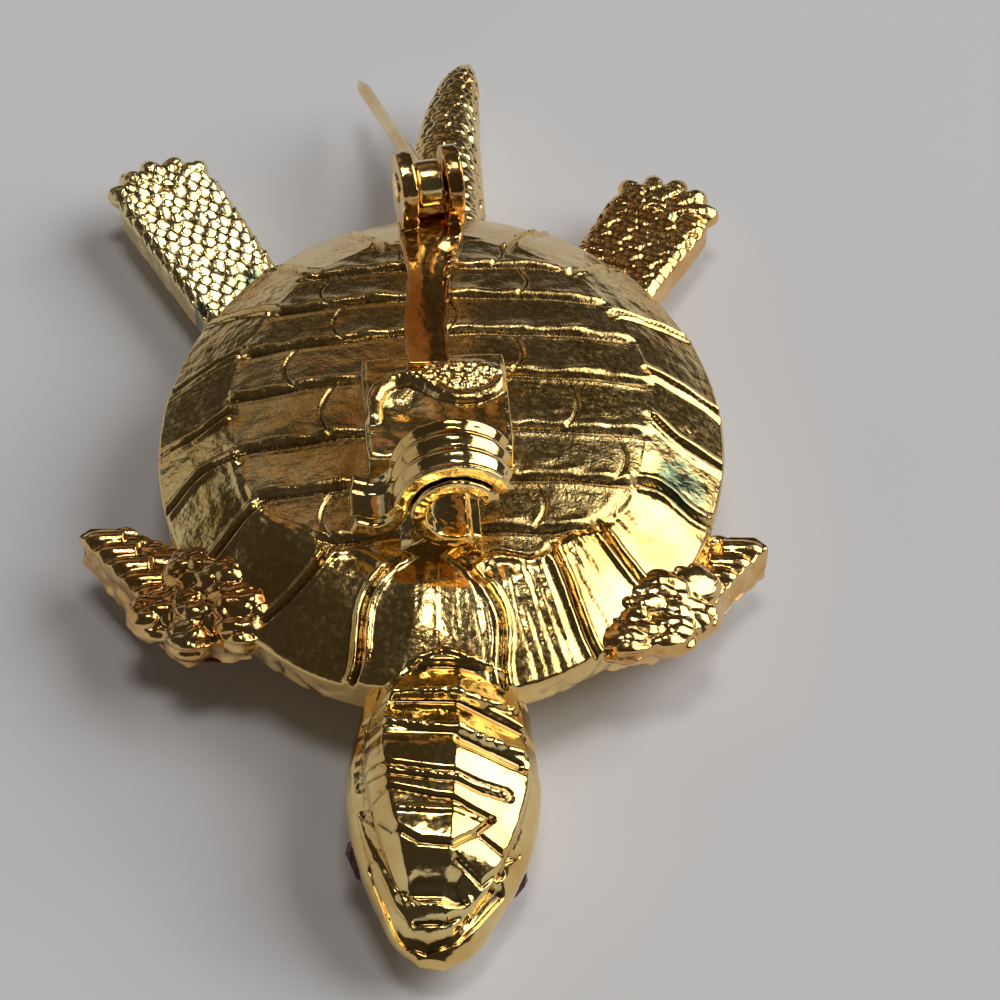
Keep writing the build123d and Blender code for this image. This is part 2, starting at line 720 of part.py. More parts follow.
# Pin stem: an eye on the rivet and a straight wire to a point
with BuildPart() as pin_stem:
    stem_way = heading(HINGE_YAW + 90) * cos(radians(STEM_DROOP)) - Vector(0, 0, sin(radians(STEM_DROOP)))
    wire_start = (RIVET_RADIUS + STEM_EYE_RADIUS) / 2
    wire_end = STEM_LENGTH - STEM_POINT
    with BuildSketch(hinge_plane(-STEM_EYE_WIDTH / 2)):
        Circle(STEM_EYE_RADIUS)
    extrude(amount=STEM_EYE_WIDTH)
    with BuildSketch(Plane(origin=HINGE_POINT + stem_way * wire_start, z_dir=stem_way)):
        Circle(STEM_RADIUS)
    extrude(amount=wire_end - wire_start)
    stem_frame = Plane(origin=HINGE_POINT, z_dir=stem_way)
    point_corners = oval(stem_frame, (0, 0, wire_end), STEM_RADIUS, STEM_RADIUS, DIGIT_CORNERS)
    point_corners += oval(stem_frame, (0, 0, STEM_LENGTH), STEM_RADIUS / 6, STEM_RADIUS / 6, DIGIT_CORNERS)
    ConvexPolyhedron(point_corners)
    with BuildSketch(hinge_plane(-STEM_EYE_WIDTH / 2)):
        Circle(RIVET_RADIUS + RIVET_RUNNING)
    extrude(amount=STEM_EYE_WIDTH, mode=Mode.SUBTRACT)

# Catch sleeve: a grooved C that rolls round the hook, with its end curled out into a thumb tab
with BuildPart() as catch_sleeve:
    mean_radius = CATCH_RADIUS - SLEEVE_WALL / 2
    sleeve_end = SLEEVE_START + SLEEVE_SWEEP
    with BuildSketch(catch_plane(0)):
        with BuildLine():
            CenterArc((0, 0), mean_radius, SLEEVE_START, SLEEVE_SWEEP)
            curl = JernArc(heading(sleeve_end) * mean_radius, heading(sleeve_end + 90), TAB_RADIUS, -TAB_SWEEP)
            Line(curl @ 1, (curl @ 1) + (curl % 1) * TAB_LIP)
        trace(line_width=SLEEVE_WALL)
    extrude(amount=-SLEEVE_LENGTH)
    for groove in (1, 2):
        with BuildSketch(catch_plane(groove * SLEEVE_LENGTH / 3 - SLEEVE_GROOVE / 2)):
            groove_floor = CATCH_RADIUS - SLEEVE_GROOVE_DEPTH
            ring_sector(groove_floor, CATCH_RADIUS + SLEEVE_WALL, SLEEVE_START - 5, SLEEVE_SWEEP)
        extrude(amount=-SLEEVE_GROOVE, mode=Mode.SUBTRACT)

turtle_body.part.label = "turtle_body"
eye_left.part.label = "eye_left"
eye_right.part.label = "eye_right"
hinge_rivet.part.label = "hinge_rivet"
pin_stem.part.label = "pin_stem"
catch_sleeve.part.label = "catch_sleeve"

export_step(turtle_body.part, "parts/turtle_body.step")
export_step(eye_left.part, "parts/eye_left.step")
export_step(eye_right.part, "parts/eye_right.step")
export_step(hinge_rivet.part, "parts/hinge_rivet.step")
export_step(pin_stem.part, "parts/pin_stem.step")
export_step(catch_sleeve.part, "parts/catch_sleeve.step")
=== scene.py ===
"""Turtle brooch lying belly up: the looks of its casting, eyes, finding, pin stem and rolling catch.

Shapes are worked out in millimetres in the frame of the solids and turned to metres when a piece is placed.
"""
import logging
import math
from dataclasses import dataclass, field
from enum import Enum
from typing import Callable, Optional, Sequence, Union

import bmesh
import bpy
import numpy as np
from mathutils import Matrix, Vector, noise


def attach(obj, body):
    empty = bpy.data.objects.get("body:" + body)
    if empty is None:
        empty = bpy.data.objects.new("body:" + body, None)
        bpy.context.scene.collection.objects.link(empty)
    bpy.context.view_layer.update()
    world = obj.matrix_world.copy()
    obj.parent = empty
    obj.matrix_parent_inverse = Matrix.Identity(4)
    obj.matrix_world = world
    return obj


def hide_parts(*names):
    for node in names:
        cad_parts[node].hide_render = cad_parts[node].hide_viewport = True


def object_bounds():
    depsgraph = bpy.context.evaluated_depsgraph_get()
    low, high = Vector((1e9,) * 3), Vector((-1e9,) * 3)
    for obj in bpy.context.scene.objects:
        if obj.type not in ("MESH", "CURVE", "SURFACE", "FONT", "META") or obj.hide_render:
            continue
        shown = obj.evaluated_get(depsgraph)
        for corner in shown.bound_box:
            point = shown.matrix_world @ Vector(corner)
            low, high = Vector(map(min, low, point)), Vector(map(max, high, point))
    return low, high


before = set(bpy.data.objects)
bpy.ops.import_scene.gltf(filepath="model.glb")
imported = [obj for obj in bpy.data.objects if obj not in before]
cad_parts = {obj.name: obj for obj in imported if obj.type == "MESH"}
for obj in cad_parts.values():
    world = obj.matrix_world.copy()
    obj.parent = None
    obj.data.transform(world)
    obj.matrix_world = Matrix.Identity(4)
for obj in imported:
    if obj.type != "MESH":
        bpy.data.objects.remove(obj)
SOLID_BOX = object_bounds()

Pair = tuple[float, float]
Triple = tuple[float, float, float]
Span = tuple[float, float, int]
Tree = bpy.types.NodeTree
Socket = bpy.types.NodeSocket
Relief = Callable[[np.ndarray, np.ndarray], np.ndarray]

# The direction of the shell's front, in degrees from +X
FRONT = -92.0
# One millimetre in metres
MM = 0.001
# How far the pieces stay inside the solids' box, in millimetres
SKIN_GAP = 0.01
# A distance beyond every real one
FAR = 99.0
# Edges longer than this many usual ones cross a cap, and say nothing about hollows
LONG_EDGE = 5.0
# Shares from nothing to all
WHOLE: Pair = (0.0, 1.0)
# The part of a noise's span that is stretched to the whole
NOISE_SPAN: Pair = (0.35, 0.65)
# How a finger tapers from its root to its tip: shares of its length and of its radius
DIGIT_TAPER: tuple[Pair, ...] = ((1.0, 0.9), (0.45, 1.0), (0.2, 0.86), (0.05, 0.55), (0.0, 0.25))
DIGIT_SIDES = 14
# The levels of a lump's rings, as shares of its half height
LUMP_LEVELS = (-0.95, -0.6, 0.0, 0.5, 0.8, 0.97)
LUMP_SIDES = 24
# Spots of painted green reflection: their places seen from above and their reach
GREEN_REFLECTION_SPOTS: tuple[Triple, ...] = ((-8.13, 11.3, 0.85), (-10.2, 9.6, 0.6), (9.2, -3.3, 1.5))
log = logging.getLogger("turtle_brooch")


class Body(Enum):
    """The moving groups that the pieces ride on."""

    BASE = "base"
    PIN = "pin"
    CATCH = "catch"


class Slot(Enum):
    """The material slots of the part."""

    CASTING = "cast_gold"
    FINDING = "finding_gold"
    WIRE = "wire_gold"
    STONE = "red_glass"


# Where a piece belongs: the body that it rides on, the solids that it stands for and its slot
Seat = tuple[Body, tuple[str, ...], Slot]
CAST: Seat = (Body.BASE, ("turtle_body",), Slot.CASTING)
SOLDERED: Seat = (Body.BASE, ("turtle_body",), Slot.FINDING)
RIVETED: Seat = (Body.BASE, ("hinge_rivet",), Slot.FINDING)
ON_PIN: Seat = (Body.PIN, ("pin_stem",), Slot.WIRE)
ON_HOOK: Seat = (Body.CATCH, ("catch_sleeve",), Slot.FINDING)


# Small tools for numbers and points


def ease(value: np.ndarray, low: float, high: float) -> np.ndarray:
    """Rise smoothly from 0 to 1 between two values.

    Args:
        value: The numbers to judge.
        low: Where the rise starts.
        high: Where the rise ends.

    Returns:
        Shares from 0 to 1.
    """
    share = np.clip((value - low) / (high - low), 0.0, 1.0)
    return share * share * (3.0 - 2.0 * share)


def hill(value: np.ndarray, middle: float, width: float) -> np.ndarray:
    """A rounded hill of height 1.

    Args:
        value: The numbers to judge.
        middle: Where the hill stands.
        width: The distance over which it falls off.

    Returns:
        Heights from 0 to 1.
    """
    return np.exp(-(((value - middle) / width) ** 2))


def round_min(first: np.ndarray, second: np.ndarray, reach: float) -> np.ndarray:
    """The smaller of two distances, with the corner between them rounded.

    Args:
        first: One distance.
        second: The other distance.
        reach: How far from the corner the rounding starts.

    Returns:
        The rounded smaller distance.
    """
    share = np.clip(reach - np.abs(first - second), 0.0, None) / reach
    return np.minimum(first, second) - share * share * reach / 4.0


def curve_through(table: Sequence[Sequence[float]], column: int, at: np.ndarray) -> np.ndarray:
    """A smooth curve through one column of a table whose first column holds the stations.

    Args:
        table: Rows of numbers, with rising stations.
        column: The column to follow.
        at: The stations asked for.

    Returns:
        The values there.
    """
    rows = np.array(table, float)
    stations, values = rows[:, 0], rows[:, column]
    slopes = np.gradient(values, stations)
    place = np.clip(np.searchsorted(stations, at, side="right") - 1, 0, len(stations) - 2)
    gap = stations[place + 1] - stations[place]
    share = np.clip((at - stations[place]) / gap, 0.0, 1.0)
    squared, cubed = share**2, share**3
    return (
        (2 * cubed - 3 * squared + 1) * values[place]
        + (cubed - 2 * squared + share) * gap * slopes[place]
        + (3 * squared - 2 * cubed) * values[place + 1]
        + (cubed - squared) * gap * slopes[place + 1]
    )


def swell(points: np.ndarray, size: float, seed: float = 0.0) -> np.ndarray:
    """Smooth unevenness over points.

    Args:
        points: Rows of three coordinates.
        size: The size of the bumps, in the points' own unit.
        seed: A shift that gives other bumps.

    Returns:
        One number from about -1 to 1 for each point.
    """
    moved = points.reshape(-1, 3) / size + seed
    return np.array([noise.noise(Vector(point)) for point in moved]).reshape(points.shape[:-1])


def pebbles(across: np.ndarray, along: np.ndarray, pitch: float, lean: Pair = (0.0, 0.0)) -> np.ndarray:
    """Rounded pebbles on a staggered and slightly uneven lattice.

    Args:
        across: The coordinate across the rows.
        along: The coordinate along which the rows follow each other.
        pitch: The distance between pebbles.
        lean: How much each pebble falls off per pitch across and along.

    Returns:
        Heights from 0 in the joints to 1 on a pebble's top.
    """
    step = pitch * 0.87
    best = np.zeros_like(across)
    slope = np.zeros_like(across)
    base = np.floor(along / step)
    for ahead in (-1, 0, 1, 2):
        row = base + ahead
        offset = 0.5 * (row % 2)
        seat = np.round(across / pitch - offset)
        for aside in (-1, 0, 1):
            place = seat + aside
            shift = 0.20 * np.sin(row * 12.9898 + place * 78.233)
            lift = 0.20 * np.sin(row * 39.425 + place * 17.719)
            east = across - (place + offset + shift) * pitch
            north = along - (row + lift) * step
            dome = 1.0 - (east**2 + north**2) / (0.40 * pitch**2)
            slope = np.where(dome > best, -(lean[0] * east + lean[1] * north) / pitch, slope)
            best = np.maximum(best, dome)
    return np.sqrt(np.clip(best, 0.0, 1.0)) + slope


def wrap(degrees: np.ndarray) -> np.ndarray:
    """Bring angles into the span from -180 to 180 degrees."""
    return (degrees + 180.0) % 360.0 - 180.0


def path_distance(path: Sequence[Pair], across: np.ndarray, along: np.ndarray) -> np.ndarray:
    """The distance to the nearest point of a line with corners.

    Args:
        path: The line's corners.
        across: Places to the side.
        along: Places along the surface.

    Returns:
        Distances.
    """
    nearest = np.full(np.broadcast(across, along).shape, FAR)
    for (x0, y0), (x1, y1) in zip(path, path[1:]):
        run_x, run_y = x1 - x0, y1 - y0
        share = ((across - x0) * run_x + (along - y0) * run_y) / (run_x**2 + run_y**2)
        share = np.clip(share, 0.0, 1.0)
        nearest = np.minimum(nearest, np.hypot(across - x0 - share * run_x, along - y0 - share * run_y))
    return nearest


@dataclass(frozen=True)
class Stroke:
    """A ridge or a groove along a line on a surface, in millimetres."""

    path: tuple[Pair, ...]
    half: float
    height: float
    soft: float = 0.08

    def lay(self, across: np.ndarray, along: np.ndarray) -> np.ndarray:
        """The height that the stroke adds.

        Args:
            across: Places to the side.
            along: Places along the surface.

        Returns:
            Heights.
        """
        nearest = path_distance(self.path, across, along)
        return self.height * (1.0 - ease(nearest, self.half - self.soft, self.half + self.soft))


def heading(angle: float) -> Vector:
    """The level direction at an angle in degrees from +X."""
    return Vector((math.cos(math.radians(angle)), math.sin(math.radians(angle)), 0.0))


# Forms: points and faces before they become pieces


@dataclass
class Form:
    """The points of a shape, in millimetres, and its faces."""

    points: np.ndarray
    faces: list[tuple[int, ...]] = field(default_factory=list)

    def with_form(self, other: "Form") -> "Form":
        """Put two forms side by side in one.

        Args:
            other: The form to add.

        Returns:
            Both forms as one.
        """
        start = len(self.points)
        moved = [tuple(corner + start for corner in face) for face in other.faces]
        return Form(np.vstack((self.points, other.points)), self.faces + moved)


def net_form(net: np.ndarray, closed: bool, caps: bool) -> Form:
    """A skin over rows of points.

    Args:
        net: Points as rows, columns and three coordinates.
        closed: Whether the last column joins the first.
        caps: Whether the first and last rows are closed with a face.

    Returns:
        The form.
    """
    rows, columns = net.shape[:2]
    index = np.arange(rows * columns).reshape(rows, columns)
    right = np.roll(index, -1, axis=1) if closed else index[:, 1:]
    left = index if closed else index[:, :-1]
    quads = np.stack((left[:-1], right[:-1], right[1:], left[1:]), axis=-1).reshape(-1, 4)
    faces = [tuple(quad) for quad in quads.tolist()]
    if caps:
        faces.append(tuple(index[0].tolist()))
        faces.append(tuple(index[-1].tolist()))
    return Form(net.reshape(-1, 3), faces)


def hull_form(points: Sequence[Vector]) -> Form:
    """The tight skin round a cloud of points.

    Args:
        points: The points.

    Returns:
        The convex form.
    """
    shape = bmesh.new()
    for point in points:
        shape.verts.new(point)
    result = bmesh.ops.convex_hull(shape, input=shape.verts)
    loose = [part for part in result["geom_interior"] if isinstance(part, bmesh.types.BMVert)]
    bmesh.ops.delete(shape, geom=loose, context="VERTS")
    shape.verts.index_update()
    corners = np.array([vertex.co[:] for vertex in shape.verts], float)
    faces = [tuple(vertex.index for vertex in side.verts) for side in shape.faces]
    shape.free()
    return Form(corners, faces)


def prism_form(outline: Sequence[Pair], origin: Vector, right: Vector, up: Vector, depth: Vector) -> Form:
    """A flat outline drawn out along a direction.

    Args:
        outline: The outline's corners.
        origin: Where the outline's zero stands.
        right: The direction of its first coordinate.
        up: The direction of its second coordinate.
        depth: How far and where it is drawn out.

    Returns:
        The closed form.
    """
    near = [origin + right * first + up * second for first, second in outline]
    far = [point + depth for point in near]
    return net_form(np.array([[tuple(p) for p in near], [tuple(p) for p in far]]), True, True)


def ring_points(centre: Vector, first: Vector, second: Vector, count: int) -> list[Vector]:
    """Points round an oval.

    Args:
        centre: The oval's centre.
        first: One half axis.
        second: The other half axis.
        count: How many points.

    Returns:
        The points.
    """
    turns = [2.0 * math.pi * step / count for step in range(count)]
    return [centre + first * math.cos(turn) + second * math.sin(turn) for turn in turns]


def digit_form(tip: Vector, way: Vector, radius: float, length: float) -> Form:
    """A blunt finger that ends at its tip.

    Args:
        tip: The end of the finger.
        way: The direction that it points in.
        radius: Its radius.
        length: Its length.

    Returns:
        The closed form.
    """
    side = way.cross(Vector((0, 0, 1))).normalized()
    top = side.cross(way)
    points: list[Vector] = []
    for back, share in DIGIT_TAPER:
        centre = tip - way * (back * length)
        points += ring_points(centre, side * radius * share, top * radius * share, DIGIT_SIDES)
    return hull_form(points)


def lump_form(centre: Vector, half: Vector) -> Form:
    """A rounded lump.

    Args:
        centre: Its middle.
        half: Its half sizes.

    Returns:
        The closed form.
    """
    points: list[Vector] = []
    for level in LUMP_LEVELS:
        share = math.sqrt(1.0 - level * level)
        middle = centre + Vector((0, 0, level * half.z))
        first, second = Vector((share * half.x, 0, 0)), Vector((0, share * half.y, 0))
        points += ring_points(middle, first, second, LUMP_SIDES)
    return hull_form(points)


# Finishes


def add_noise(tree: Tree, size: float, detail: float) -> Socket:
    """Cloudy shares over the surface.

    Args:
        tree: The material's nodes.
        size: The size of the clouds, in millimetres.
        detail: How many finer layers they have.

    Returns:
        Shares round 0.5.
    """
    place = tree.nodes.new("ShaderNodeTexCoord")
    cloud = tree.nodes.new("ShaderNodeTexNoise")
    cloud.inputs["Scale"].default_value = 1.0 / (size * MM)
    cloud.inputs["Detail"].default_value = detail
    tree.links.new(place.outputs["Object"], cloud.inputs["Vector"])
    return cloud.outputs["Fac"]


def link_bump(tree: Tree, size: float, height: float, detail: float, below: Optional[Socket]) -> Socket:
    """Add a layer of fine unevenness to a material.

    Args:
        tree: The material's nodes.
        size: The size of the bumps, in millimetres.
        height: Their height, in millimetres.
        detail: How many finer layers the noise has.
        below: The normal that this layer is added to.

    Returns:
        The new normal.
    """
    bump = tree.nodes.new("ShaderNodeBump")
    bump.inputs["Strength"].default_value = 1.0
    bump.inputs["Distance"].default_value = height * MM
    tree.links.new(add_noise(tree, size, detail), bump.inputs["Height"])
    if below is not None:
        tree.links.new(below, bump.inputs["Normal"])
    return bump.outputs["Normal"]


def blend_colours(tree: Tree, share: Socket, low: Union[Triple, Socket], high: Triple) -> Socket:
    """Mix two colours by a share.

    Args:
        tree: The material's nodes.
        share: The share of the second colour.
        low: The first colour, or the socket that gives it.
        high: The second colour.

    Returns:
        The mixed colour.
    """
    mix = tree.nodes.new("ShaderNodeMix")
    mix.data_type = "RGBA"
    tree.links.new(share, mix.inputs["Factor"])
    first, second = (next(s for s in mix.inputs if s.name == name and s.type == "RGBA") for name in "AB")
    if isinstance(low, tuple):
        first.default_value = (*low, 1.0)
    else:
        tree.links.new(low, first)
    second.default_value = (*high, 1.0)
    return next(s for s in mix.outputs if s.type == "RGBA")


def map_share(tree: Tree, value: Socket, span: Pair, result: Pair = WHOLE) -> Socket:
    """Stretch a number from one span to another.

    Args:
        tree: The material's nodes.
        value: The number.
        span: The span that it comes from.
        result: The span that it goes to.

    Returns:
        The stretched number.
    """
    node = tree.nodes.new("ShaderNodeMapRange")
    node.inputs["From Min"].default_value, node.inputs["From Max"].default_value = span
    node.inputs["To Min"].default_value, node.inputs["To Max"].default_value = result
    tree.links.new(value, node.inputs["Value"])
    return node.outputs["Result"]


def read_mark(tree: Tree, name: str) -> Socket:
    """Read a mark that the mesh carries.

    Args:
        tree: The material's nodes.
        name: The mark's name.

    Returns:
        The mark's value.
    """
    node = tree.nodes.new("ShaderNodeAttribute")
    node.attribute_name = name
    return node.outputs["Fac"]


@dataclass(frozen=True)
class Finish:
    """A finish that can be built as a node material."""

    name: str

    def material(self) -> bpy.types.Material:
        """Build the finish.

        Returns:
            The material.
        """
        made = bpy.data.materials.new(self.name)
        made.use_nodes = True
        tree = made.node_tree
        self.dress(tree, tree.nodes["Principled BSDF"])
        return made

    def dress(self, tree: Tree, shader: bpy.types.Node) -> None:
        """Link the finish's own nodes to the shader."""
        raise NotImplementedError


@dataclass(frozen=True)
class GoldFinish(Finish):
    """Gold plate that is bright on its crests, browned in its hollows, and with a painted green reflection in
    a few spots.
    """

    bright: Triple = (0.97, 0.77, 0.38)
    deep: Triple = (0.82, 0.54, 0.18)
    tarnish: Triple = (0.16, 0.09, 0.035)
    # The colour of the painted green reflection laid on the marked spots
    green_reflection: Triple = (0.10, 0.24, 0.17)
    gloss: Pair = (0.10, 0.30)
    grain_size: float = 0.10
    grain_height: float = 0.010
    ripple_size: float = 0.9
    ripple_height: float = 0.05
    cloud_size: float = 2.6
    speck_size: float = 0.22
    speck_span: Pair = (0.3, 0.7)
    hollow_span: Pair = (0.12, 0.85)
    tarnish_share: float = 0.75
    green_reflection_share: float = 0.8

    def dress(self, tree: Tree, shader: bpy.types.Node) -> None:
        """Link the gold's colours, gloss and grain.

        Args:
            tree: The material's nodes.
            shader: The node that they end in.
        """
        shader.inputs["Metallic"].default_value = 1.0
        cloud = map_share(tree, add_noise(tree, self.cloud_size, 4.0), NOISE_SPAN)
        browned = map_share(tree, read_mark(tree, "hollow"), self.hollow_span, (0.0, self.tarnish_share))
        # The green_reflection mark paints a greenish reflection of the window into the colour
        reflected_green = map_share(tree, read_mark(tree, "green_reflection"), WHOLE, (0.0, self.green_reflection_share))
        colour = blend_colours(tree, cloud, self.bright, self.deep)
        colour = blend_colours(tree, browned, colour, self.tarnish)
        colour = blend_colours(tree, reflected_green, colour, self.green_reflection)
        gloss = map_share(tree, add_noise(tree, self.speck_size, 2.0), self.speck_span, self.gloss)
        ripple = link_bump(tree, self.ripple_size, self.ripple_height, 2.0, None)
        grain = link_bump(tree, self.grain_size, self.grain_height, 3.0, ripple)
        tree.links.new(colour, shader.inputs["Base Color"])
        tree.links.new(gloss, shader.inputs["Roughness"])
        tree.links.new(grain, shader.inputs["Normal"])


@dataclass(frozen=True)
class GlassFinish(Finish):
    """Dark red glass with a slight cloud of colour in it."""

    light: Triple = (0.09, 0.002, 0.002)
    dark: Triple = (0.02, 0.001, 0.001)
    bending: float = 1.5
    clearness: float = 0.1
    shine: float = 0.25
    roughness: float = 0.04
    cloud_size: float = 0.7
    wear_size: float = 0.25
    wear_height: float = 0.002

    def dress(self, tree: Tree, shader: bpy.types.Node) -> None:
        """Link the glass's colour and its faint wear.

        Args:
            tree: The material's nodes.
            shader: The node that they end in.
        """
        shader.inputs["IOR"].default_value = self.bending
        shader.inputs["Transmission Weight"].default_value = self.clearness
        shader.inputs["Specular IOR Level"].default_value = self.shine
        shader.inputs["Roughness"].default_value = self.roughness
        cloud = map_share(tree, add_noise(tree, self.cloud_size, 2.0), NOISE_SPAN)
        wear = link_bump(tree, self.wear_size, self.wear_height, 2.0, None)
        tree.links.new(blend_colours(tree, cloud, self.dark, self.light), shader.inputs["Base Color"])
        tree.links.new(wear, shader.inputs["Normal"])


@dataclass(frozen=True)
class FloorFinish(Finish):
    """A plain pale floor, very slightly mottled."""

    light: Triple = (0.75, 0.77, 0.83)
    dark: Triple = (0.69, 0.71, 0.77)
    roughness: float = 0.9
    cloud_size: float = 30.0

    def dress(self, tree: Tree, shader: bpy.types.Node) -> None:
        """Link the floor's colour.

        Args:
            tree: The material's nodes.
            shader: The node that it ends in.
        """
        shader.inputs["Roughness"].default_value = self.roughness
        cloud = add_noise(tree, self.cloud_size, 3.0)
        tree.links.new(blend_colours(tree, cloud, self.dark, self.light), shader.inputs["Base Color"])


FIELD_GOLD = GoldFinish(
    "field_gold",
    bright=(0.87, 0.64, 0.28),
    deep=(0.62, 0.41, 0.13),
    grain_size=0.13,
    grain_height=0.022,
    gloss=(0.12, 0.32),
)
RIM_GOLD = GoldFinish(
    "rim_gold",
    bright=(0.93, 0.71, 0.31),
    deep=(0.74, 0.46, 0.14),
    grain_size=0.18,
    grain_height=0.014,
    gloss=(0.09, 0.24),
    ripple_height=0.04,
)
HEAD_GOLD = GoldFinish(
    "head_gold",
    bright=(0.94, 0.73, 0.32),
    deep=(0.78, 0.49, 0.15),
    grain_size=0.30,
    grain_height=0.008,
    gloss=(0.07, 0.18),
)
SCALE_GOLD = GoldFinish("scale_gold", grain_size=0.15, grain_height=0.012, gloss=(0.12, 0.28))
CLAW_GOLD = GoldFinish(
    "claw_gold",
    bright=(0.93, 0.67, 0.29),
    deep=(0.76, 0.40, 0.12),
    grain_size=0.15,
    gloss=(0.08, 0.22),
)
# Painted light: a paler, greener copy of the gold for the left hind foot, standing in for the window's
# reflection on its sole
LIT_FOOT_GOLD = GoldFinish("lit_foot_gold", bright=(0.98, 0.83, 0.45), deep=(0.90, 0.69, 0.30), grain_size=0.15)
# Painted shade: a darker, more orange copy of the gold for the right hind foot
SHADED_FOOT_GOLD = GoldFinish("shaded_foot_gold", bright=(0.94, 0.67, 0.28), deep=(0.78, 0.44, 0.13), grain_size=0.15)
SOLDER_GOLD = GoldFinish("solder_gold", grain_size=0.12, grain_height=0.015, gloss=(0.08, 0.25))
FINDING_GOLD = GoldFinish("finding_gold", grain_size=0.30, grain_height=0.006, gloss=(0.06, 0.16))
# Painted reflection: a redder, darker copy of the finding's gold, standing in for the gold body's reflection
# on the bar
BAR_REFLECTION_GOLD = GoldFinish(
    "bar_reflection_gold",
    bright=(0.90, 0.60, 0.24),
    deep=(0.66, 0.33, 0.09),
    grain_size=0.30,
    grain_height=0.006,
    ripple_height=0.015,
    gloss=(0.08, 0.20),
)
WIRE_GOLD = GoldFinish("wire_gold", grain_size=0.20, grain_height=0.004, gloss=(0.12, 0.22))
STONE_RED = GlassFinish("stone_red")
FLOOR_PALE = FloorFinish("floor_pale")


# Placing pieces


def read_points(mesh: bpy.types.Mesh, what: str) -> np.ndarray:
    """Read a three-part value of each point of a mesh.

    Args:
        mesh: The mesh.
        what: "co" for places or "normal" for directions.

    Returns:
        One row for each point.
    """
    values = np.empty(len(mesh.vertices) * 3)
    mesh.vertices.foreach_get(what, values)
    return values.reshape(-1, 3)


def mark_hollows(mesh: bpy.types.Mesh, rounds: int, depth: float) -> None:
    """Mark how deep each point lies below the smoothed surface.

    Args:
        mesh: The mesh, in millimetres.
        rounds: How far the smoothing reaches.
        depth: The depth that counts as a full hollow.
    """
    places, directions = read_points(mesh, "co"), read_points(mesh, "normal")
    ends = np.empty(len(mesh.edges) * 2, np.int64)
    mesh.edges.foreach_get("vertices", ends)
    pairs = ends.reshape(-1, 2)
    lengths = np.linalg.norm(places[pairs[:, 0]] - places[pairs[:, 1]], axis=1)
    pairs = pairs[lengths < LONG_EDGE * np.median(lengths)]
    first, second = pairs.T
    count = np.maximum(np.bincount(pairs.ravel(), minlength=len(places)), 1)
    smooth = places.copy()
    for _ in range(rounds):
        for axis in range(3):
            total = np.bincount(first, smooth[second, axis], len(places))
            total += np.bincount(second, smooth[first, axis], len(places))
            smooth[:, axis] = 0.5 * smooth[:, axis] + 0.5 * total / count
    below = ((smooth - places) * directions).sum(axis=1) / depth
    mark = mesh.attributes.new("hollow", "FLOAT", "POINT")
    mark.data.foreach_set("value", np.clip(below, 0.0, 1.0).astype(np.float32))


def mark_green_reflection(mesh: bpy.types.Mesh) -> None:
    """Mark the spots of painted green reflection.

    Args:
        mesh: The mesh, in millimetres.
    """
    places = read_points(mesh, "co")
    x, y = places[:, 0], places[:, 1]
    patchy = 0.5 * np.sin(5.1 * x + 2.0 * np.sin(4.3 * y)) * np.cos(6.7 * y)
    share = np.zeros(len(places))
    for middle_x, middle_y, reach in GREEN_REFLECTION_SPOTS:
        away = np.hypot(x - middle_x, y - middle_y) / reach
        share = np.maximum(share, (1.5 * (1.0 - away) + patchy) * (away < 1.0))
    mark = mesh.attributes.new("green_reflection", "FLOAT", "POINT")
    mark.data.foreach_set("value", np.clip(share, 0.0, 1.0).astype(np.float32))


def outward(mesh: bpy.types.Mesh) -> None:
    """Turn all faces of a mesh outwards."""
    shape = bmesh.new()
    shape.from_mesh(mesh)
    bmesh.ops.recalc_face_normals(shape, faces=shape.faces)
    middle = sum((vertex.co for vertex in shape.verts), Vector()) / len(shape.verts)
    sides = ((side.normal.dot(side.calc_center_median() - middle), side.calc_area()) for side in shape.faces)
    facing = sum(share * area for share, area in sides)
    if facing < 0:
        bmesh.ops.reverse_faces(shape, faces=shape.faces)
    shape.to_mesh(mesh)
    shape.free()


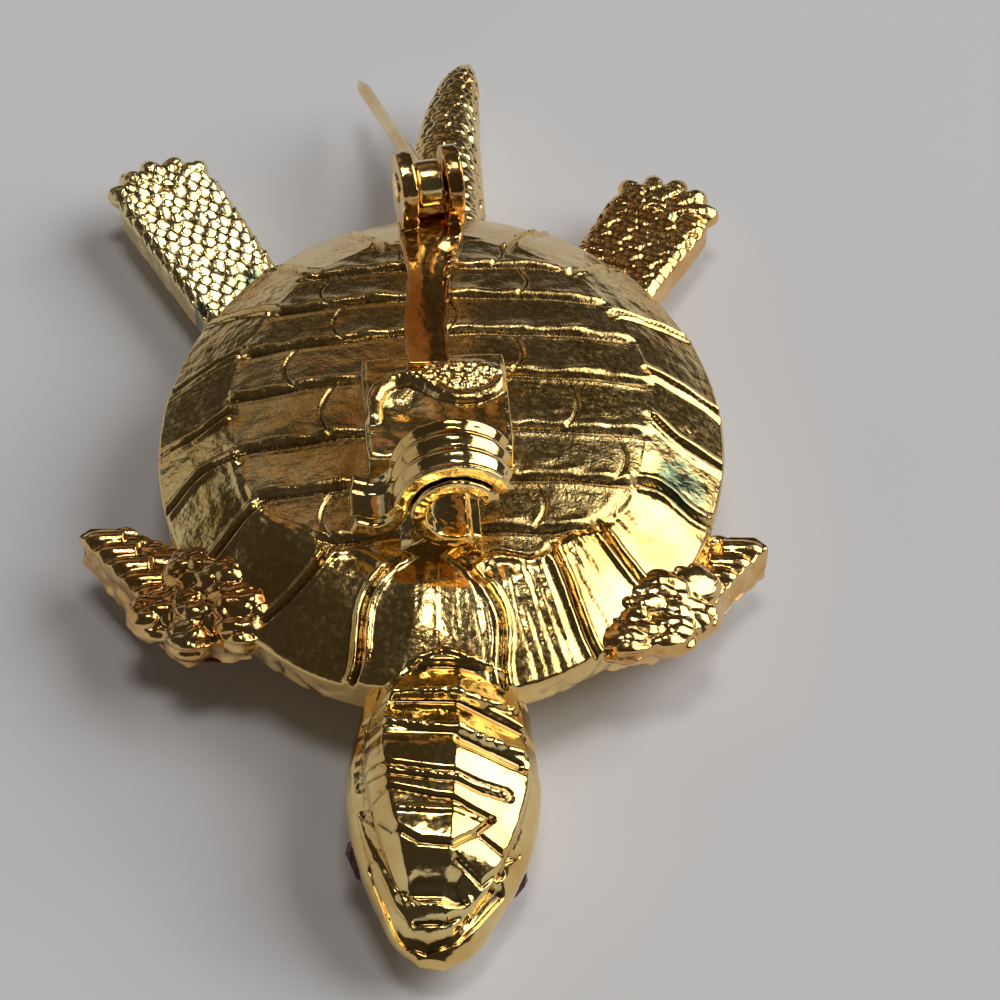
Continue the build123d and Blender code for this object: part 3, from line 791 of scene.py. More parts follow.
@dataclass
class Maker:
    """Turns forms into pieces that ride on the solids' bodies."""

    finishes: dict[str, bpy.types.Material] = field(default_factory=dict)

    def finish(self, wanted: Finish) -> bpy.types.Material:
        """Give the material of a finish, built once.

        Args:
            wanted: The finish.

        Returns:
            Its material.
        """
        if wanted.name not in self.finishes:
            self.finishes[wanted.name] = wanted.material()
        return self.finishes[wanted.name]

    def fuse(self, mesh: bpy.types.Mesh, voxel: float, relax: int) -> bpy.types.Mesh:
        """Melt overlapping forms into one skin and soften its edges.

        Args:
            mesh: The mesh with the overlapping forms.
            voxel: The size of the skin's cells, in millimetres.
            relax: How many times the skin is smoothed.

        Returns:
            The new mesh.
        """
        holder = bpy.data.objects.new("holder", mesh)
        bpy.context.scene.collection.objects.link(holder)
        melt = holder.modifiers.new("melt", "REMESH")
        melt.mode = "VOXEL"
        melt.voxel_size = voxel
        soften = holder.modifiers.new("soften", "SMOOTH")
        soften.factor = 0.5
        soften.iterations = relax
        bpy.context.view_layer.update()
        graph = bpy.context.evaluated_depsgraph_get()
        made = bpy.data.meshes.new_from_object(holder.evaluated_get(graph))
        bpy.data.objects.remove(holder)
        return made

    def place(
        self,
        name: str,
        form: Form,
        finish: Finish,
        body: Body,
        nodes: Sequence[str],
        slot: Slot,
        voxel: float = 0.0,
        relax: int = 6,
        raise_by: Optional[Relief] = None,
        hollow_depth: float = 0.06,
        hollow_rounds: int = 10,
        faceted: bool = False,
    ) -> bpy.types.Object:
        """Make a piece from a form and let it ride on a body.

        Args:
            name: The piece's name.
            form: Its points and faces.
            finish: Its finish.
            body: The body that it rides on.
            nodes: The solids that it stands for.
            slot: The material slot of the piece; not used.
            voxel: The cell size for melting overlapping forms, or 0 for none.
            relax: How many times a melted skin is smoothed.
            raise_by: Gives the height to add along the normal from the places and normals.
            hollow_depth: The depth that counts as a full hollow.
            hollow_rounds: How far the hollows are looked for.
            faceted: Whether the faces stay flat.

        Returns:
            The piece.
        """
        mesh = bpy.data.meshes.new(name)
        mesh.from_pydata(form.points.tolist(), [], form.faces)
        mesh.update()
        outward(mesh)
        if voxel:
            mesh = self.fuse(mesh, voxel, relax)
            mesh.name = name
        if raise_by is not None:
            places, directions = read_points(mesh, "co"), read_points(mesh, "normal")
            moved = places + directions * raise_by(places, directions)[:, None]
            mesh.vertices.foreach_set("co", moved.ravel())
        low = np.array(SOLID_BOX[0]) / MM + np.array((SKIN_GAP, SKIN_GAP, 0.0))
        high = np.array(SOLID_BOX[1]) / MM - SKIN_GAP
        mesh.vertices.foreach_set("co", np.clip(read_points(mesh, "co"), low, high).ravel())
        mesh.update()
        mark_hollows(mesh, hollow_rounds, hollow_depth)
        # Marks where the painted green reflection goes
        mark_green_reflection(mesh)
        mesh.vertices.foreach_set("co", (read_points(mesh, "co") * MM).ravel())
        mesh.polygons.foreach_set("use_smooth", np.full(len(mesh.polygons), not faceted))
        mesh.update()
        mesh.materials.clear()
        mesh.materials.append(self.finish(finish))
        piece = bpy.data.objects.new(name, mesh)
        bpy.context.scene.collection.objects.link(piece)
        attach(piece, body.value)
        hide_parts(*nodes)
        log.info("%s: %d points", name, len(mesh.vertices))
        return piece


# The casting


@dataclass
class Shell:
    """The oval shell: scuted plastron, marginal plates, rim wall and plain carapace."""

    half_width: float = 11.1
    half_length: float = 13.5
    thickness: float = 7.3
    rim_height: float = 4.0
    rim_wall: float = 1.0
    undercut: float = 0.15
    band: float = 2.9
    rise: float = 1.3
    flat_half_width: float = 4.0
    relief: float = 0.20
    channel: float = 0.11
    edge: float = 0.13
    corner: float = 0.45
    joint_depth: float = 0.13
    joint_bulge: float = 0.55
    lip: float = 0.03
    ridge: float = 0.17
    ridge_place: float = 0.27
    brow: float = 0.20
    brow_place: float = 0.42
    plate_tilt: float = 0.22
    front_lift: float = 0.55
    right_sink: float = 0.40
    row_tilt: float = 0.06
    row_bow: float = 0.006
    row_wave: float = 0.03
    skirt: float = 0.6
    field_rings: int = 120
    field_turns: int = 660
    rim_rings: int = 53
    rim_turns: int = 900
    wall_rings: int = 12
    carapace_rings: int = 22
    # The carapace below the rim: shares of the half width and of the rim's height
    carapace: tuple[Pair, ...] = ((0.93, 0.56), (0.82, 0.36), (0.66, 0.18))
    # Lines beyond the first and the last row of scutes, the borders between the rows where they cross the
    # middle, and the joints of each row
    row_ends: Pair = (13.0, -12.0)
    row_borders: tuple[float, ...] = (9.9, 7.55, 5.3, 2.9, 0.35, -2.6, -5.1, -7.5)
    row_joints: tuple[tuple[float, ...], ...] = (
        (0.4,),
        (-1.8, 2.4),
        (-4.9, 3.4),
        (-4.3, 0.6),
        (-6.1, 3.2),
        (-4.6, 1.2, 5.3),
        (-1.7, 7.1),
        (-4.4, 4.0),
        (0.2,),
    )
    # Borders between the marginal plates: angles at the field's edge and at the rim
    plate_borders: tuple[Pair, ...] = (
        (-177.9, -175.6),
        (-163.8, -163.8),
        (-144.9, -148.9),
        (-123.5, -130.0),
        (-101.7, -109.4),
        (-81.4, -74.2),
        (-59.6, -55.4),
        (-40.0, -42.0),
        (-24.4, -18.8),
        (-4.1, -7.6),
        (12.7, 5.5),
        (32.0, 27.0),
        (52.0, 49.0),
        (71.0, 69.0),
        (90.0, 90.0),
        (109.0, 111.0),
        (128.0, 131.0),
        (146.0, 150.0),
        (162.2, 168.3),
    )

    @property
    def stretch(self) -> float:
        """How much longer than wide the shell is."""
        return self.half_length / self.half_width

    @property
    def field_edge(self) -> float:
        """The reach of the plastron's field to the side."""
        return self.half_width - self.band

    def core_height(self, reach: np.ndarray) -> np.ndarray:
        """The height of the plain top below the relief.

        Args:
            reach: Distances from the middle, measured to the side.

        Returns:
            Heights.
        """
        edge = self.field_edge
        radius = (edge**2 + self.rise**2) / (2 * self.rise)
        dome = self.thickness - radius + np.sqrt(radius**2 - np.minimum(reach, edge) ** 2)
        share = np.clip((reach - edge) / self.band, 0.0, 1.0)
        slope = (self.thickness - self.rise - self.rim_height) * share
        return dome - slope + 0.25 * share * (1.0 - share)

    def field_distance(self, x: np.ndarray, y: np.ndarray) -> tuple[np.ndarray, np.ndarray, np.ndarray]:
        """Where a place lies on its scute of the field.

        Args:
            x: Places to the side.
            y: Places along the shell.

        Returns:
            The distance to the nearest border between rows, to the nearest joint in the row, and to the
            border on the head's side. The joints bulge outwards.
        """
        level = y - self.row_tilt * x - self.row_bow * x**2 + self.row_wave * np.sin(1.7 * x + 0.7 * y)
        first, last = self.row_ends
        gaps = level[..., None] - np.array((first, *self.row_borders, last))
        across = np.abs(gaps).min(axis=-1)
        front = np.where(gaps > 0, gaps, FAR).min(axis=-1)
        behind = np.where(gaps <= 0, -gaps, FAR).min(axis=-1)
        bulge = self.joint_bulge * 4.0 * front * behind / (front + behind) ** 2
        row = (level[..., None] < np.array(self.row_borders)).sum(axis=-1)
        outwards = bulge[..., None] - self.joint_bulge
        aside = np.full_like(x, FAR)
        for number, joints in enumerate(self.row_joints):
            ends = np.array(joints)
            near = np.abs(x[..., None] - ends - np.sign(ends) * outwards).min(axis=-1)
            aside = np.where(row == number, near, aside)
        return across, aside, front

    def ring_reach(self, turn: np.ndarray) -> np.ndarray:
        """The reach of the border between the field and the marginal plates.

        Args:
            turn: Angles in degrees from +X, from -180 to 180.

        Returns:
            Reaches, shorter at the front where the scutes are large.
        """
        front = hill(turn, FRONT, 38.0)
        uneven = 0.012 * np.sin(np.radians(9.0 * turn))
        uneven = uneven + 0.035 * front * np.sin(np.radians(17.0 * turn + 40.0))
        return self.field_edge * (1.0 - 0.16 * front + uneven)

    def plate_share(self, reach: np.ndarray, turn: np.ndarray) -> tuple[np.ndarray, np.ndarray]:
        """Where a place lies on its marginal plate.

        Args:
            reach: Distances from the middle, measured to the side.
            turn: Angles in degrees from +X, from -180 to 180.

        Returns:
            The distance to the nearest border, and the share of the way from the tail's side to the head's.
        """
        ring = self.ring_reach(turn)
        share = np.clip((reach - ring) / (self.half_width - ring), 0.0, 1.0)
        inner, outer = np.array(self.plate_borders).T
        number = np.arange(len(inner))
        bow = 0.7 + 2.3 * hill(inner, FRONT, 62.0)
        bend = bow * np.sin((1.2 + 0.5 * np.sin(number * 1.7)) * share[..., None] * math.pi + number * 2.4)
        lines = inner + (outer - inner) * share[..., None] + bend
        away = wrap(turn[..., None] - lines)
        arc = np.radians(np.abs(away)) * reach[..., None] * (1.0 + self.stretch) / 2.0
        after = np.where(away >= 0, away, FAR).min(axis=-1)
        before = np.where(away < 0, -away, FAR).min(axis=-1)
        on_right = np.cos(np.radians(turn)) > 0
        return arc.min(axis=-1), np.where(on_right, before, after) / (after + before)

    def relief_profile(self, distance: np.ndarray, crown: float) -> np.ndarray:
        """The height of a plate from the distance to its border.

        Args:
            distance: Distances to the border.
            crown: How much the plate swells towards its middle.

        Returns:
            Heights above the channels' floor.
        """
        inside = distance - self.channel
        wall = ease(inside, -self.edge / 2, self.edge / 2)
        lip = self.lip * hill(inside, 0.14, 0.09)
        return wall * self.relief + lip + crown * (1.0 - np.exp(-np.clip(inside, 0.0, None) / 0.5))

    def top_height(self, x: np.ndarray, y: np.ndarray) -> np.ndarray:
        """The height of the relief over the plastron and the marginal band.

        Args:
            x: Places to the side.
            y: Places along the shell.

        Returns:
            Heights.
        """
        reach = np.hypot(x, y / self.stretch)
        turn = np.degrees(np.arctan2(y / self.stretch, x))
        past_ring = reach - self.ring_reach(turn)
        front_part = hill(turn, FRONT, 52.0)
        ring = np.abs(past_ring) + 0.34 - 0.30 * front_part
        crumble = 0.75 + 0.25 * np.sin(3.1 * x + 2.0 * np.sin(2.3 * y)) * np.cos(2.7 * y + np.sin(1.9 * x))
        field_relief = self.scute_relief(x, y, ring, crumble)
        border, front = self.plate_share(reach, turn)
        to_rim = self.half_width + 0.3 - reach
        plate = round_min(round_min(border, ring, self.corner), to_rim, 0.3)
        plate_relief = self.relief_profile(plate, 0.0)
        tilt = self.plate_tilt * (0.5 - front) * (1.0 - 1.7 * hill(turn, -20.0, 32.0))
        plate_relief += ease(plate, 0.1, 0.4) * tilt
        ridges = hill(border, self.ridge_place, 0.12)
        ridges += 0.8 * front_part * hill(np.abs(past_ring), self.ridge_place, 0.12)
        plate_relief += self.ridge * np.minimum(ridges, 1.0) * crumble
        outward_share = np.clip(past_ring / self.band, 0.0, 1.0)
        plate_relief += self.front_lift * outward_share * hill(turn, FRONT, 14.0)
        plate_relief -= self.right_sink * (1.0 - outward_share) ** 2 * hill(turn, -33.0, 13.0)
        soft = 0.14 + 0.30 * (1.0 - front_part)
        on_plate = ease(past_ring / soft, -1.0, 0.7)
        return self.core_height(reach) + field_relief + (plate_relief - field_relief) * on_plate

    def scute_relief(self, x: np.ndarray, y: np.ndarray, ring: np.ndarray, crumble: np.ndarray) -> np.ndarray:
        """The relief of the field's scutes, each with a brow on the head's side.

        Args:
            x: Places to the side.
            y: Places along the shell.
            ring: Distances to the border between the field and the marginal plates.
            crumble: How worn the brows are.

        Returns:
            Heights above the channels' floor.
        """
        row, joint, ahead = self.field_distance(x, y)
        scute = round_min(row, ring, self.corner)
        cut = 1.0 - ease(joint - 0.5 * self.channel, -self.edge / 2, self.edge / 2)
        past_brow = ahead - self.brow_place
        brow = np.where(past_brow < 0, hill(ahead, self.brow_place, 0.27), np.exp(-past_brow / 0.55))
        worn = self.brow * brow * crumble - 0.05 - self.joint_depth * cut
        return self.relief_profile(scute, 0.02) + ease(scute, 0.1, 0.25) * worn

    def top_net(self, shares: np.ndarray, turns: int, on_band: bool) -> np.ndarray:
        """Points of the top on rings, either of the field or of the band of marginal plates.

        Args:
            shares: Shares of the way from the middle to the border, or from the border to the rim.
            turns: How many points each ring has.
            on_band: Whether the rings lie on the band.

        Returns:
            Points as rings, turns and three coordinates.
        """
        turn = np.linspace(0.0, 2.0 * math.pi, turns, endpoint=False)
        degrees = wrap(np.degrees(turn))
        border = self.ring_reach(degrees)
        start, end = (border, self.half_width - 0.06) if on_band else (0.5, border)
        reaches = start + (end - start) * shares[:, None]
        x = reaches * np.cos(turn)
        y = reaches * np.sin(turn) * self.stretch
        net = np.stack((x, y, self.top_height(x, y)), axis=-1)
        net[..., 2] += 0.035 * swell(net, 1.3, 3.0) + 0.014 * swell(net, 0.42, 7.0)
        if on_band:
            streaks = np.stack((turn * self.half_length / 0.4 + 0.0 * x, reaches / 2.2, 0.0 * x), axis=-1)
            net[..., 2] += 0.06 * swell(streaks, 1.0, 4.0) * hill(degrees, -60.0, 24.0)
            crumple = 0.06 * swell(net, 0.9, 11.0) + 0.20 * swell(net, 2.4, 5.0)
            net[..., 2] += crumple * hill(degrees, -34.0, 20.0)
        return net

    def build(self, maker: Maker) -> None:
        """Build the plastron and the rim with the carapace.

        Args:
            maker: What places the pieces.
        """
        plastron = self.top_net(np.linspace(0.0, 1.0, self.field_rings), self.field_turns, False)
        outer = self.top_net(np.linspace(0.0, 1.0, self.rim_rings), self.rim_turns, True)
        inside = net_form(plastron, True, False).with_form(self.skirt_form(plastron[-1]))
        maker.place("plastron", inside, FIELD_GOLD, *CAST)
        rim = net_form(self.rim_net(outer), True, False).with_form(self.skirt_form(outer[0]))
        maker.place("rim", rim, RIM_GOLD, *CAST)

    def skirt_form(self, ring: np.ndarray) -> Form:
        """A wall that hangs down from a ring, so that a seam can't be seen through.

        Args:
            ring: The ring's points.

        Returns:
            The form.
        """
        return net_form(np.stack((ring, ring - np.array((0.0, 0.0, self.skirt)))), True, False)

    def rim_net(self, band: np.ndarray) -> np.ndarray:
        """The marginal band with the rim wall and the carapace below it.

        Args:
            band: The points of the marginal band.

        Returns:
            Points as rings, turns and three coordinates.
        """
        turn = np.linspace(0.0, 2.0 * math.pi, self.rim_turns, endpoint=False)
        edge = band[-1, :, 2]
        top = self.rim_height - 0.10
        rows = [(self.half_width, top), (self.half_width - self.undercut, self.rim_height - self.rim_wall)]
        rows += [(share * self.half_width, height * self.rim_height) for share, height in self.carapace]
        rows.append((self.flat_half_width, 0.0))
        table = [(step, reach, height) for step, (reach, height) in enumerate(rows)]
        wall = np.linspace(0.0, 1.0, self.wall_rings)
        steps = np.concatenate((wall, np.linspace(1.1, len(rows) - 1.0, self.carapace_rings)))
        reach = curve_through(table, 1, steps)[:, None]
        height = curve_through(table, 2, steps)[:, None]
        near = np.clip(1.0 - steps, 0.0, 1.0)[:, None]
        height = height + near**2 * (edge - top - 0.12)
        height = np.maximum(height + 0.0 * turn, 0.0)
        net = np.stack((reach * np.cos(turn), reach * np.sin(turn) * self.stretch, height), axis=-1)
        on_wall = ease(steps, 0.1, 0.5)[:, None]
        dent = 0.18 * swell(net, 0.7, 8.0) * on_wall * (1.0 - ease(steps, 1.0, 2.0)[:, None])
        net[..., :2] *= 1.0 - np.clip(-dent, 0.0, None)[..., None] / self.half_width
        return np.concatenate((band, net))


@dataclass
class Head:
    """The head with its chin up: crown, ribbed chin, lens-shaped plate and mouth groove."""

    length: float = 13.9
    width: float = 7.2
    thickness: float = 5.3
    side: float = 0.6
    start: float = 10.05
    height: float = 3.0
    roll: float = 12.0
    yaw: float = 1.0
    # The crown's and the chin's sections along the head: shares of the length, of the half width and of the
    # half thickness, and how high the middle lies, as a share of the thickness
    crown: tuple[tuple[float, ...], ...] = (
        (0.000, 0.78, 0.70, -0.05),
        (0.259, 0.89, 0.80, -0.04),
        (0.483, 1.00, 0.86, -0.06),
        (0.690, 0.88, 0.78, -0.09),
        (0.862, 0.60, 0.54, -0.15),
        (0.966, 0.34, 0.30, -0.20),
        (1.000, 0.16, 0.12, -0.22),
    )
    chin: tuple[tuple[float, ...], ...] = (
        (0.000, 0.66, 0.74, 0.06),
        (0.259, 0.76, 0.80, 0.08),
        (0.483, 0.86, 0.84, 0.10),
        (0.690, 0.70, 0.71, 0.08),
        (0.775, 0.58, 0.62, 0.06),
        (0.828, 0.48, 0.52, 0.01),
        (0.922, 0.20, 0.22, -0.07),
    )
    # Corners of the chin's section: shares of its half width and half thickness
    chin_section: tuple[Pair, ...] = (
        (1.03, -0.30),
        (0.92, 0.45),
        (-0.03, 1.03),
        (-0.88, 0.80),
        (-1.03, 0.32),
        (-1.04, -0.30),
        (-0.60, -0.95),
        (0.60, -0.95),
    )
    # Ridges, grooves, the lens-shaped plate, the mouth and the cheek's edge: to the side and along the head
    strokes: tuple[Stroke, ...] = (
        Stroke(((-2.5, 3.2), (-1.6, 2.5), (-0.73, 2.18), (0.51, 2.45), (1.86, 2.58), (2.7, 2.4)), 0.15, 0.15),
        Stroke(((-3.0, 4.95), (-2.37, 4.43), (-0.49, 4.33), (0.69, 4.33), (2.35, 3.85)), 0.17, 0.17),
        Stroke(((-3.4, 5.45), (-2.34, 6.0), (-1.01, 6.17), (0.9, 6.18), (2.5, 5.92)), 0.17, 0.17),
        Stroke(((0.1, 6.68), (2.3, 6.55)), 0.24, -0.15, 0.16),
        Stroke(((-3.0, 7.72), (-2.4, 8.05), (-0.6, 8.27), (0.82, 8.29), (1.95, 8.1)), 0.27, -0.13),
        Stroke(((-3.0, 7.72), (-2.4, 8.05), (-0.6, 8.27), (0.82, 8.29), (1.85, 8.1)), 0.12, 0.17, 0.05),
        Stroke(((-3.0, 8.87), (-2.4, 8.8), (-0.84, 9.1), (0.49, 9.25), (1.48, 9.3)), 0.08, -0.17, 0.06),
        Stroke(
            (
                (-3.0, 8.87),
                (-2.47, 9.66),
                (-2.03, 10.33),
                (-1.12, 10.8),
                (0.04, 10.86),
                (0.8, 10.19),
                (1.48, 9.3),
            ),
            0.08,
            -0.17,
            0.06,
        ),
        Stroke(((-1.98, 9.62), (-0.5, 9.66), (1.1, 9.55)), 0.10, 0.08),
        Stroke(((1.02, 10.13), (1.99, 10.39), (2.64, 9.8)), 0.09, -0.15, 0.06),
        Stroke(((0.2, 11.19), (1.32, 11.52), (2.06, 10.79)), 0.09, -0.15, 0.06),
        Stroke(((-0.95, 11.95), (0.5, 11.95)), 0.38, -0.36, 0.22),
        Stroke(((-1.45, 12.1), (-0.9, 12.6), (0.14, 12.64), (0.95, 12.15), (0.6, 11.7)), 0.12, 0.14),
        Stroke(((-0.85, 12.98), (0.14, 12.92), (1.0, 12.46)), 0.10, -0.20, 0.07),
        Stroke(
            (
                (-2.6, 11.0),
                (-2.43, 11.45),
                (-1.83, 12.55),
                (-1.2, 13.3),
                (-0.3, 13.55),
                (0.6, 13.2),
                (1.2, 12.5),
                (2.0, 11.3),
            ),
            0.19,
            -0.34,
            0.12,
        ),
        Stroke(
            ((-3.3, 7.0), (-3.08, 8.8), (-2.71, 9.8), (-2.26, 10.72), (-1.83, 11.38), (-1.38, 12.0)),
            0.12,
            -0.13,
            0.10,
        ),
    )
    # Folds of skin between the ribs: where each starts and ends along the head, and its depth
    folds: tuple[Triple, ...] = ((2.72, 4.15, 0.33), (4.58, 6.0, 0.36), (6.42, 6.95, 0.12))
    # Stretches of stations along the head and of angles round it, each with its number of points
    station_spans: tuple[Span, ...] = ((0.0, 0.11, 8), (0.12, 0.98, 210), (0.982, 1.0, 14))
    turn_spans: tuple[Span, ...] = ((-0.25, math.pi + 0.25, 240), (math.pi + 0.3, 1.86 * math.pi, 78))
    section_turns: int = 360
    section_blur: int = 9
    # Where the search for the chin's skin starts, as shares of the crown's reach, and its rounds
    ray_span: Pair = (0.2, 3.0)
    ray_rounds: int = 22
    hollow_depth: float = 0.07
    hollow_rounds: int = 30

    def frame_axes(self) -> tuple[Vector, Vector, Vector, Vector]:
        """The head's own directions.

        Returns:
            Its start, its right, its up (towards the chin) and its forward direction.
        """
        yaw, roll = math.radians(self.yaw), math.radians(self.roll)
        ahead = Vector((-math.sin(yaw), -math.cos(yaw), 0.0))
        right = Vector((math.cos(roll), 0.0, -math.sin(roll)))
        right = (right - ahead * right.dot(ahead)).normalized()
        chin_up = ahead.cross(right)
        origin = Vector((self.side, 0.0, self.height)) + ahead * self.start
        return origin, right, chin_up, ahead

    def section_reach(self, turn: np.ndarray) -> np.ndarray:
        """The reach of the chin's cornered section, relative to its half axes.

        Args:
            turn: Angles in radians from the right, towards the chin.

        Returns:
            The reach for each angle.
        """
        corners = np.array(self.chin_section)
        nexts = np.roll(corners, -1, axis=0)
        ways = np.stack((np.cos(turn), np.sin(turn)), axis=-1)
        best = np.full(turn.shape, FAR)
        for first, second in zip(corners, nexts):
            run = second - first
            cross = ways[:, 0] * run[1] - ways[:, 1] * run[0]
            far = (first[0] * run[1] - first[1] * run[0]) / cross
            along = (first[0] * ways[:, 1] - first[1] * ways[:, 0]) / cross
            hit = (far > 0) & (along >= -1e-6) & (along <= 1 + 1e-6)
            best = np.where(hit, np.minimum(best, far), best)
        kernel = np.hanning(self.section_blur)
        reach = self.section_blur // 2
        padded = np.concatenate((best[-reach:], best, best[:reach]))
        return np.convolve(padded, kernel / kernel.sum(), mode="valid")

    def net(self) -> np.ndarray:
        """The points of the head.

        Returns:
            Points as stations, turns and three coordinates.
        """
        stations = np.concatenate([np.linspace(*span) for span in self.station_spans])
        table_turn = np.linspace(0.0, 2.0 * math.pi, self.section_turns, endpoint=False)
        turn = np.concatenate([np.linspace(*span) for span in self.turn_spans])
        cosine, sine = np.cos(turn), np.sin(turn)
        half_w, half_t = self.width / 2, self.thickness / 2
        middle = curve_through(self.crown, 3, stations)[:, None] * self.thickness
        wide = curve_through(self.crown, 1, stations)[:, None] * half_w
        thick = curve_through(self.crown, 2, stations)[:, None] * half_t
        crown = 1.0 / np.sqrt((cosine / wide) ** 2 + (sine / thick) ** 2)
        chin_end = self.chin[-1][0]
        ended = stations > chin_end
        chin_wide = np.where(ended, 0.02, curve_through(self.chin, 1, stations))[:, None] * half_w
        chin_thick = np.where(ended, 0.02, curve_through(self.chin, 2, stations))[:, None] * half_t
        chin_middle = curve_through(self.chin, 3, np.minimum(stations, chin_end))[:, None] * self.thickness
        chin_lift = chin_middle - middle
        crown_x, crown_y = crown * cosine, crown * sine
        chin_turn = np.arctan2((crown_y - chin_lift) / chin_thick, crown_x / chin_wide)
        section = self.section_reach(table_turn)
        cornered = ease(stations, 0.14, 0.36)[:, None]
        reach = np.interp(chin_turn % (2 * math.pi), table_turn, section, period=2 * math.pi)
        reach = 1.0 + (reach - 1.0) * cornered
        inside = np.hypot(crown_x / chin_wide, (crown_y - chin_lift) / chin_thick) / reach
        # Where the crown's point lies inside the chin, it moves out along the same ray to the chin's skin
        scale = self.ray_scale(crown_x, crown_y, chin_lift, chin_wide, chin_thick, table_turn, cornered)
        scale = np.where(inside < 1.0, np.maximum(scale, 1.0), 1.0)
        across, up = crown_x * scale, crown_y * scale
        up = up + self.detail(stations[:, None], across, sine[None, :], scale > 1.0005)
        origin, right, chin_up, ahead = self.frame_axes()
        return (
            np.array(origin)
            + across[..., None] * np.array(right)
            + (up + middle)[..., None] * np.array(chin_up)
            + (stations * self.length)[:, None, None] * np.array(ahead)
        )

    def ray_scale(
        self,
        x: np.ndarray,
        y: np.ndarray,
        lift: np.ndarray,
        wide: np.ndarray,
        thick: np.ndarray,
        turn: np.ndarray,
        cornered: np.ndarray,
    ) -> np.ndarray:
        """How far the crown's rays go on to the chin's skin.

        Args:
            x: The crown's points to the side.
            y: The crown's points towards the chin.
            lift: The height of the chin's middle.
            wide: The chin's half width.
            thick: The chin's half thickness.
            turn: The angles of the section's table.
            cornered: How far the section is cornered rather than oval.

        Returns:
            A factor for each ray.
        """
        table = self.section_reach(turn)
        low, high = (np.full(x.shape, end) for end in self.ray_span)
        for _ in range(self.ray_rounds):
            mid = (low + high) / 2
            u, v = x * mid / wide, (y * mid - lift) / thick
            edge = np.interp(np.arctan2(v, u) % (2 * math.pi), turn, table, period=2 * math.pi)
            inside = np.hypot(u, v) < 1.0 + (edge - 1.0) * cornered
            low, high = np.where(inside, mid, low), np.where(inside, high, mid)
        return (low + high) / 2

    def detail(
        self, stations: np.ndarray, across: np.ndarray, sine: np.ndarray, on_chin: np.ndarray
    ) -> np.ndarray:
        """The relief of the chin: ribs, lens-shaped plate, facets' grooves and mouth.

        Args:
            stations: Shares of the head's length.
            across: Places to the side, in millimetres.
            sine: How much each place faces the chin's side.
            on_chin: Whether the place is on the chin.

        Returns:
            Heights to add towards the chin.
        """
        along = stations * self.length + 0.0 * across
        total = 0.0 * along
        waves = np.sin(9.0 * across + 3.0 * np.sin(2.3 * across + 1.7 * along))
        waves = waves * np.sin(3.1 * across + 2.9 * along)
        for stroke in self.strokes:
            beads = 1.0 + 0.26 * waves * (stroke.height > 0)
            total = total + stroke.lay(across, along) * beads
        for start, end, depth in self.folds:
            rise = np.clip((end - along) / (end - start), 0.0, 1.0)
            total = total - depth * ease(along, start - 0.14, start + 0.14) * rise
        return total * ease(sine, 0.12, 0.30) * np.where(on_chin | (along > 10.5), 1.0, 0.6)

    def raise_by(self, places: np.ndarray, normals: np.ndarray) -> np.ndarray:
        """A slight unevenness of the skin.

        Args:
            places: The skin's points.
            normals: Its directions; not used.

        Returns:
            Heights along the normals.
        """
        return 0.02 * swell(places, 0.9, 5.0)

    def build(self, maker: Maker) -> None:
        """Build the head.

        Args:
            maker: What places the piece.
        """
        form = net_form(self.net(), True, True)
        maker.place(
            "head",
            form,
            HEAD_GOLD,
            *CAST,
            raise_by=self.raise_by,
            hollow_depth=self.hollow_depth,
            hollow_rounds=self.hollow_rounds,
        )


@dataclass
class Tail:
    """The blunt tail, covered with small scales."""

    length: float = 15.1
    width: float = 4.2
    start: float = 10.6
    height: float = 2.6
    scale_pitch: float = 0.62
    scale_height: float = 0.14
    rings: int = 190
    turns: int = 160
    # Shares of the length, the width there and how far the middle moves aside
    stations: tuple[Triple, ...] = (
        (0.00, 1.00, 0.00),
        (0.35, 0.84, -0.02),
        (0.60, 0.70, 0.00),
        (0.82, 0.52, 0.07),
        (0.94, 0.34, 0.14),
        (1.00, 0.12, 0.19),
    )

    def build(self, maker: Maker) -> None:
        """Build the tail.

        Args:
            maker: What places the piece.
        """
        share = np.linspace(0.0, 1.0, self.rings)
        turn = np.linspace(0.0, 2.0 * math.pi, self.turns, endpoint=False)
        radius = curve_through(self.stations, 1, share) * self.width / 2
        shift = curve_through(self.stations, 2, share) * self.width
        along = share[:, None] * self.length + 0 * turn
        arc = (turn - math.pi / 2) * self.width * 0.4 + 0 * share[:, None]
        scales = pebbles(arc, along, self.scale_pitch)
        swollen = radius[:, None] - self.scale_height * (1.0 - scales) * ease(radius, 0.2, 0.8)[:, None]
        x = shift[:, None] + swollen * np.cos(turn)
        net = np.stack((x, self.start + along, self.height + swollen * np.sin(turn)), axis=-1)
        maker.place("tail", net_form(net, True, True), SCALE_GOLD, *CAST)


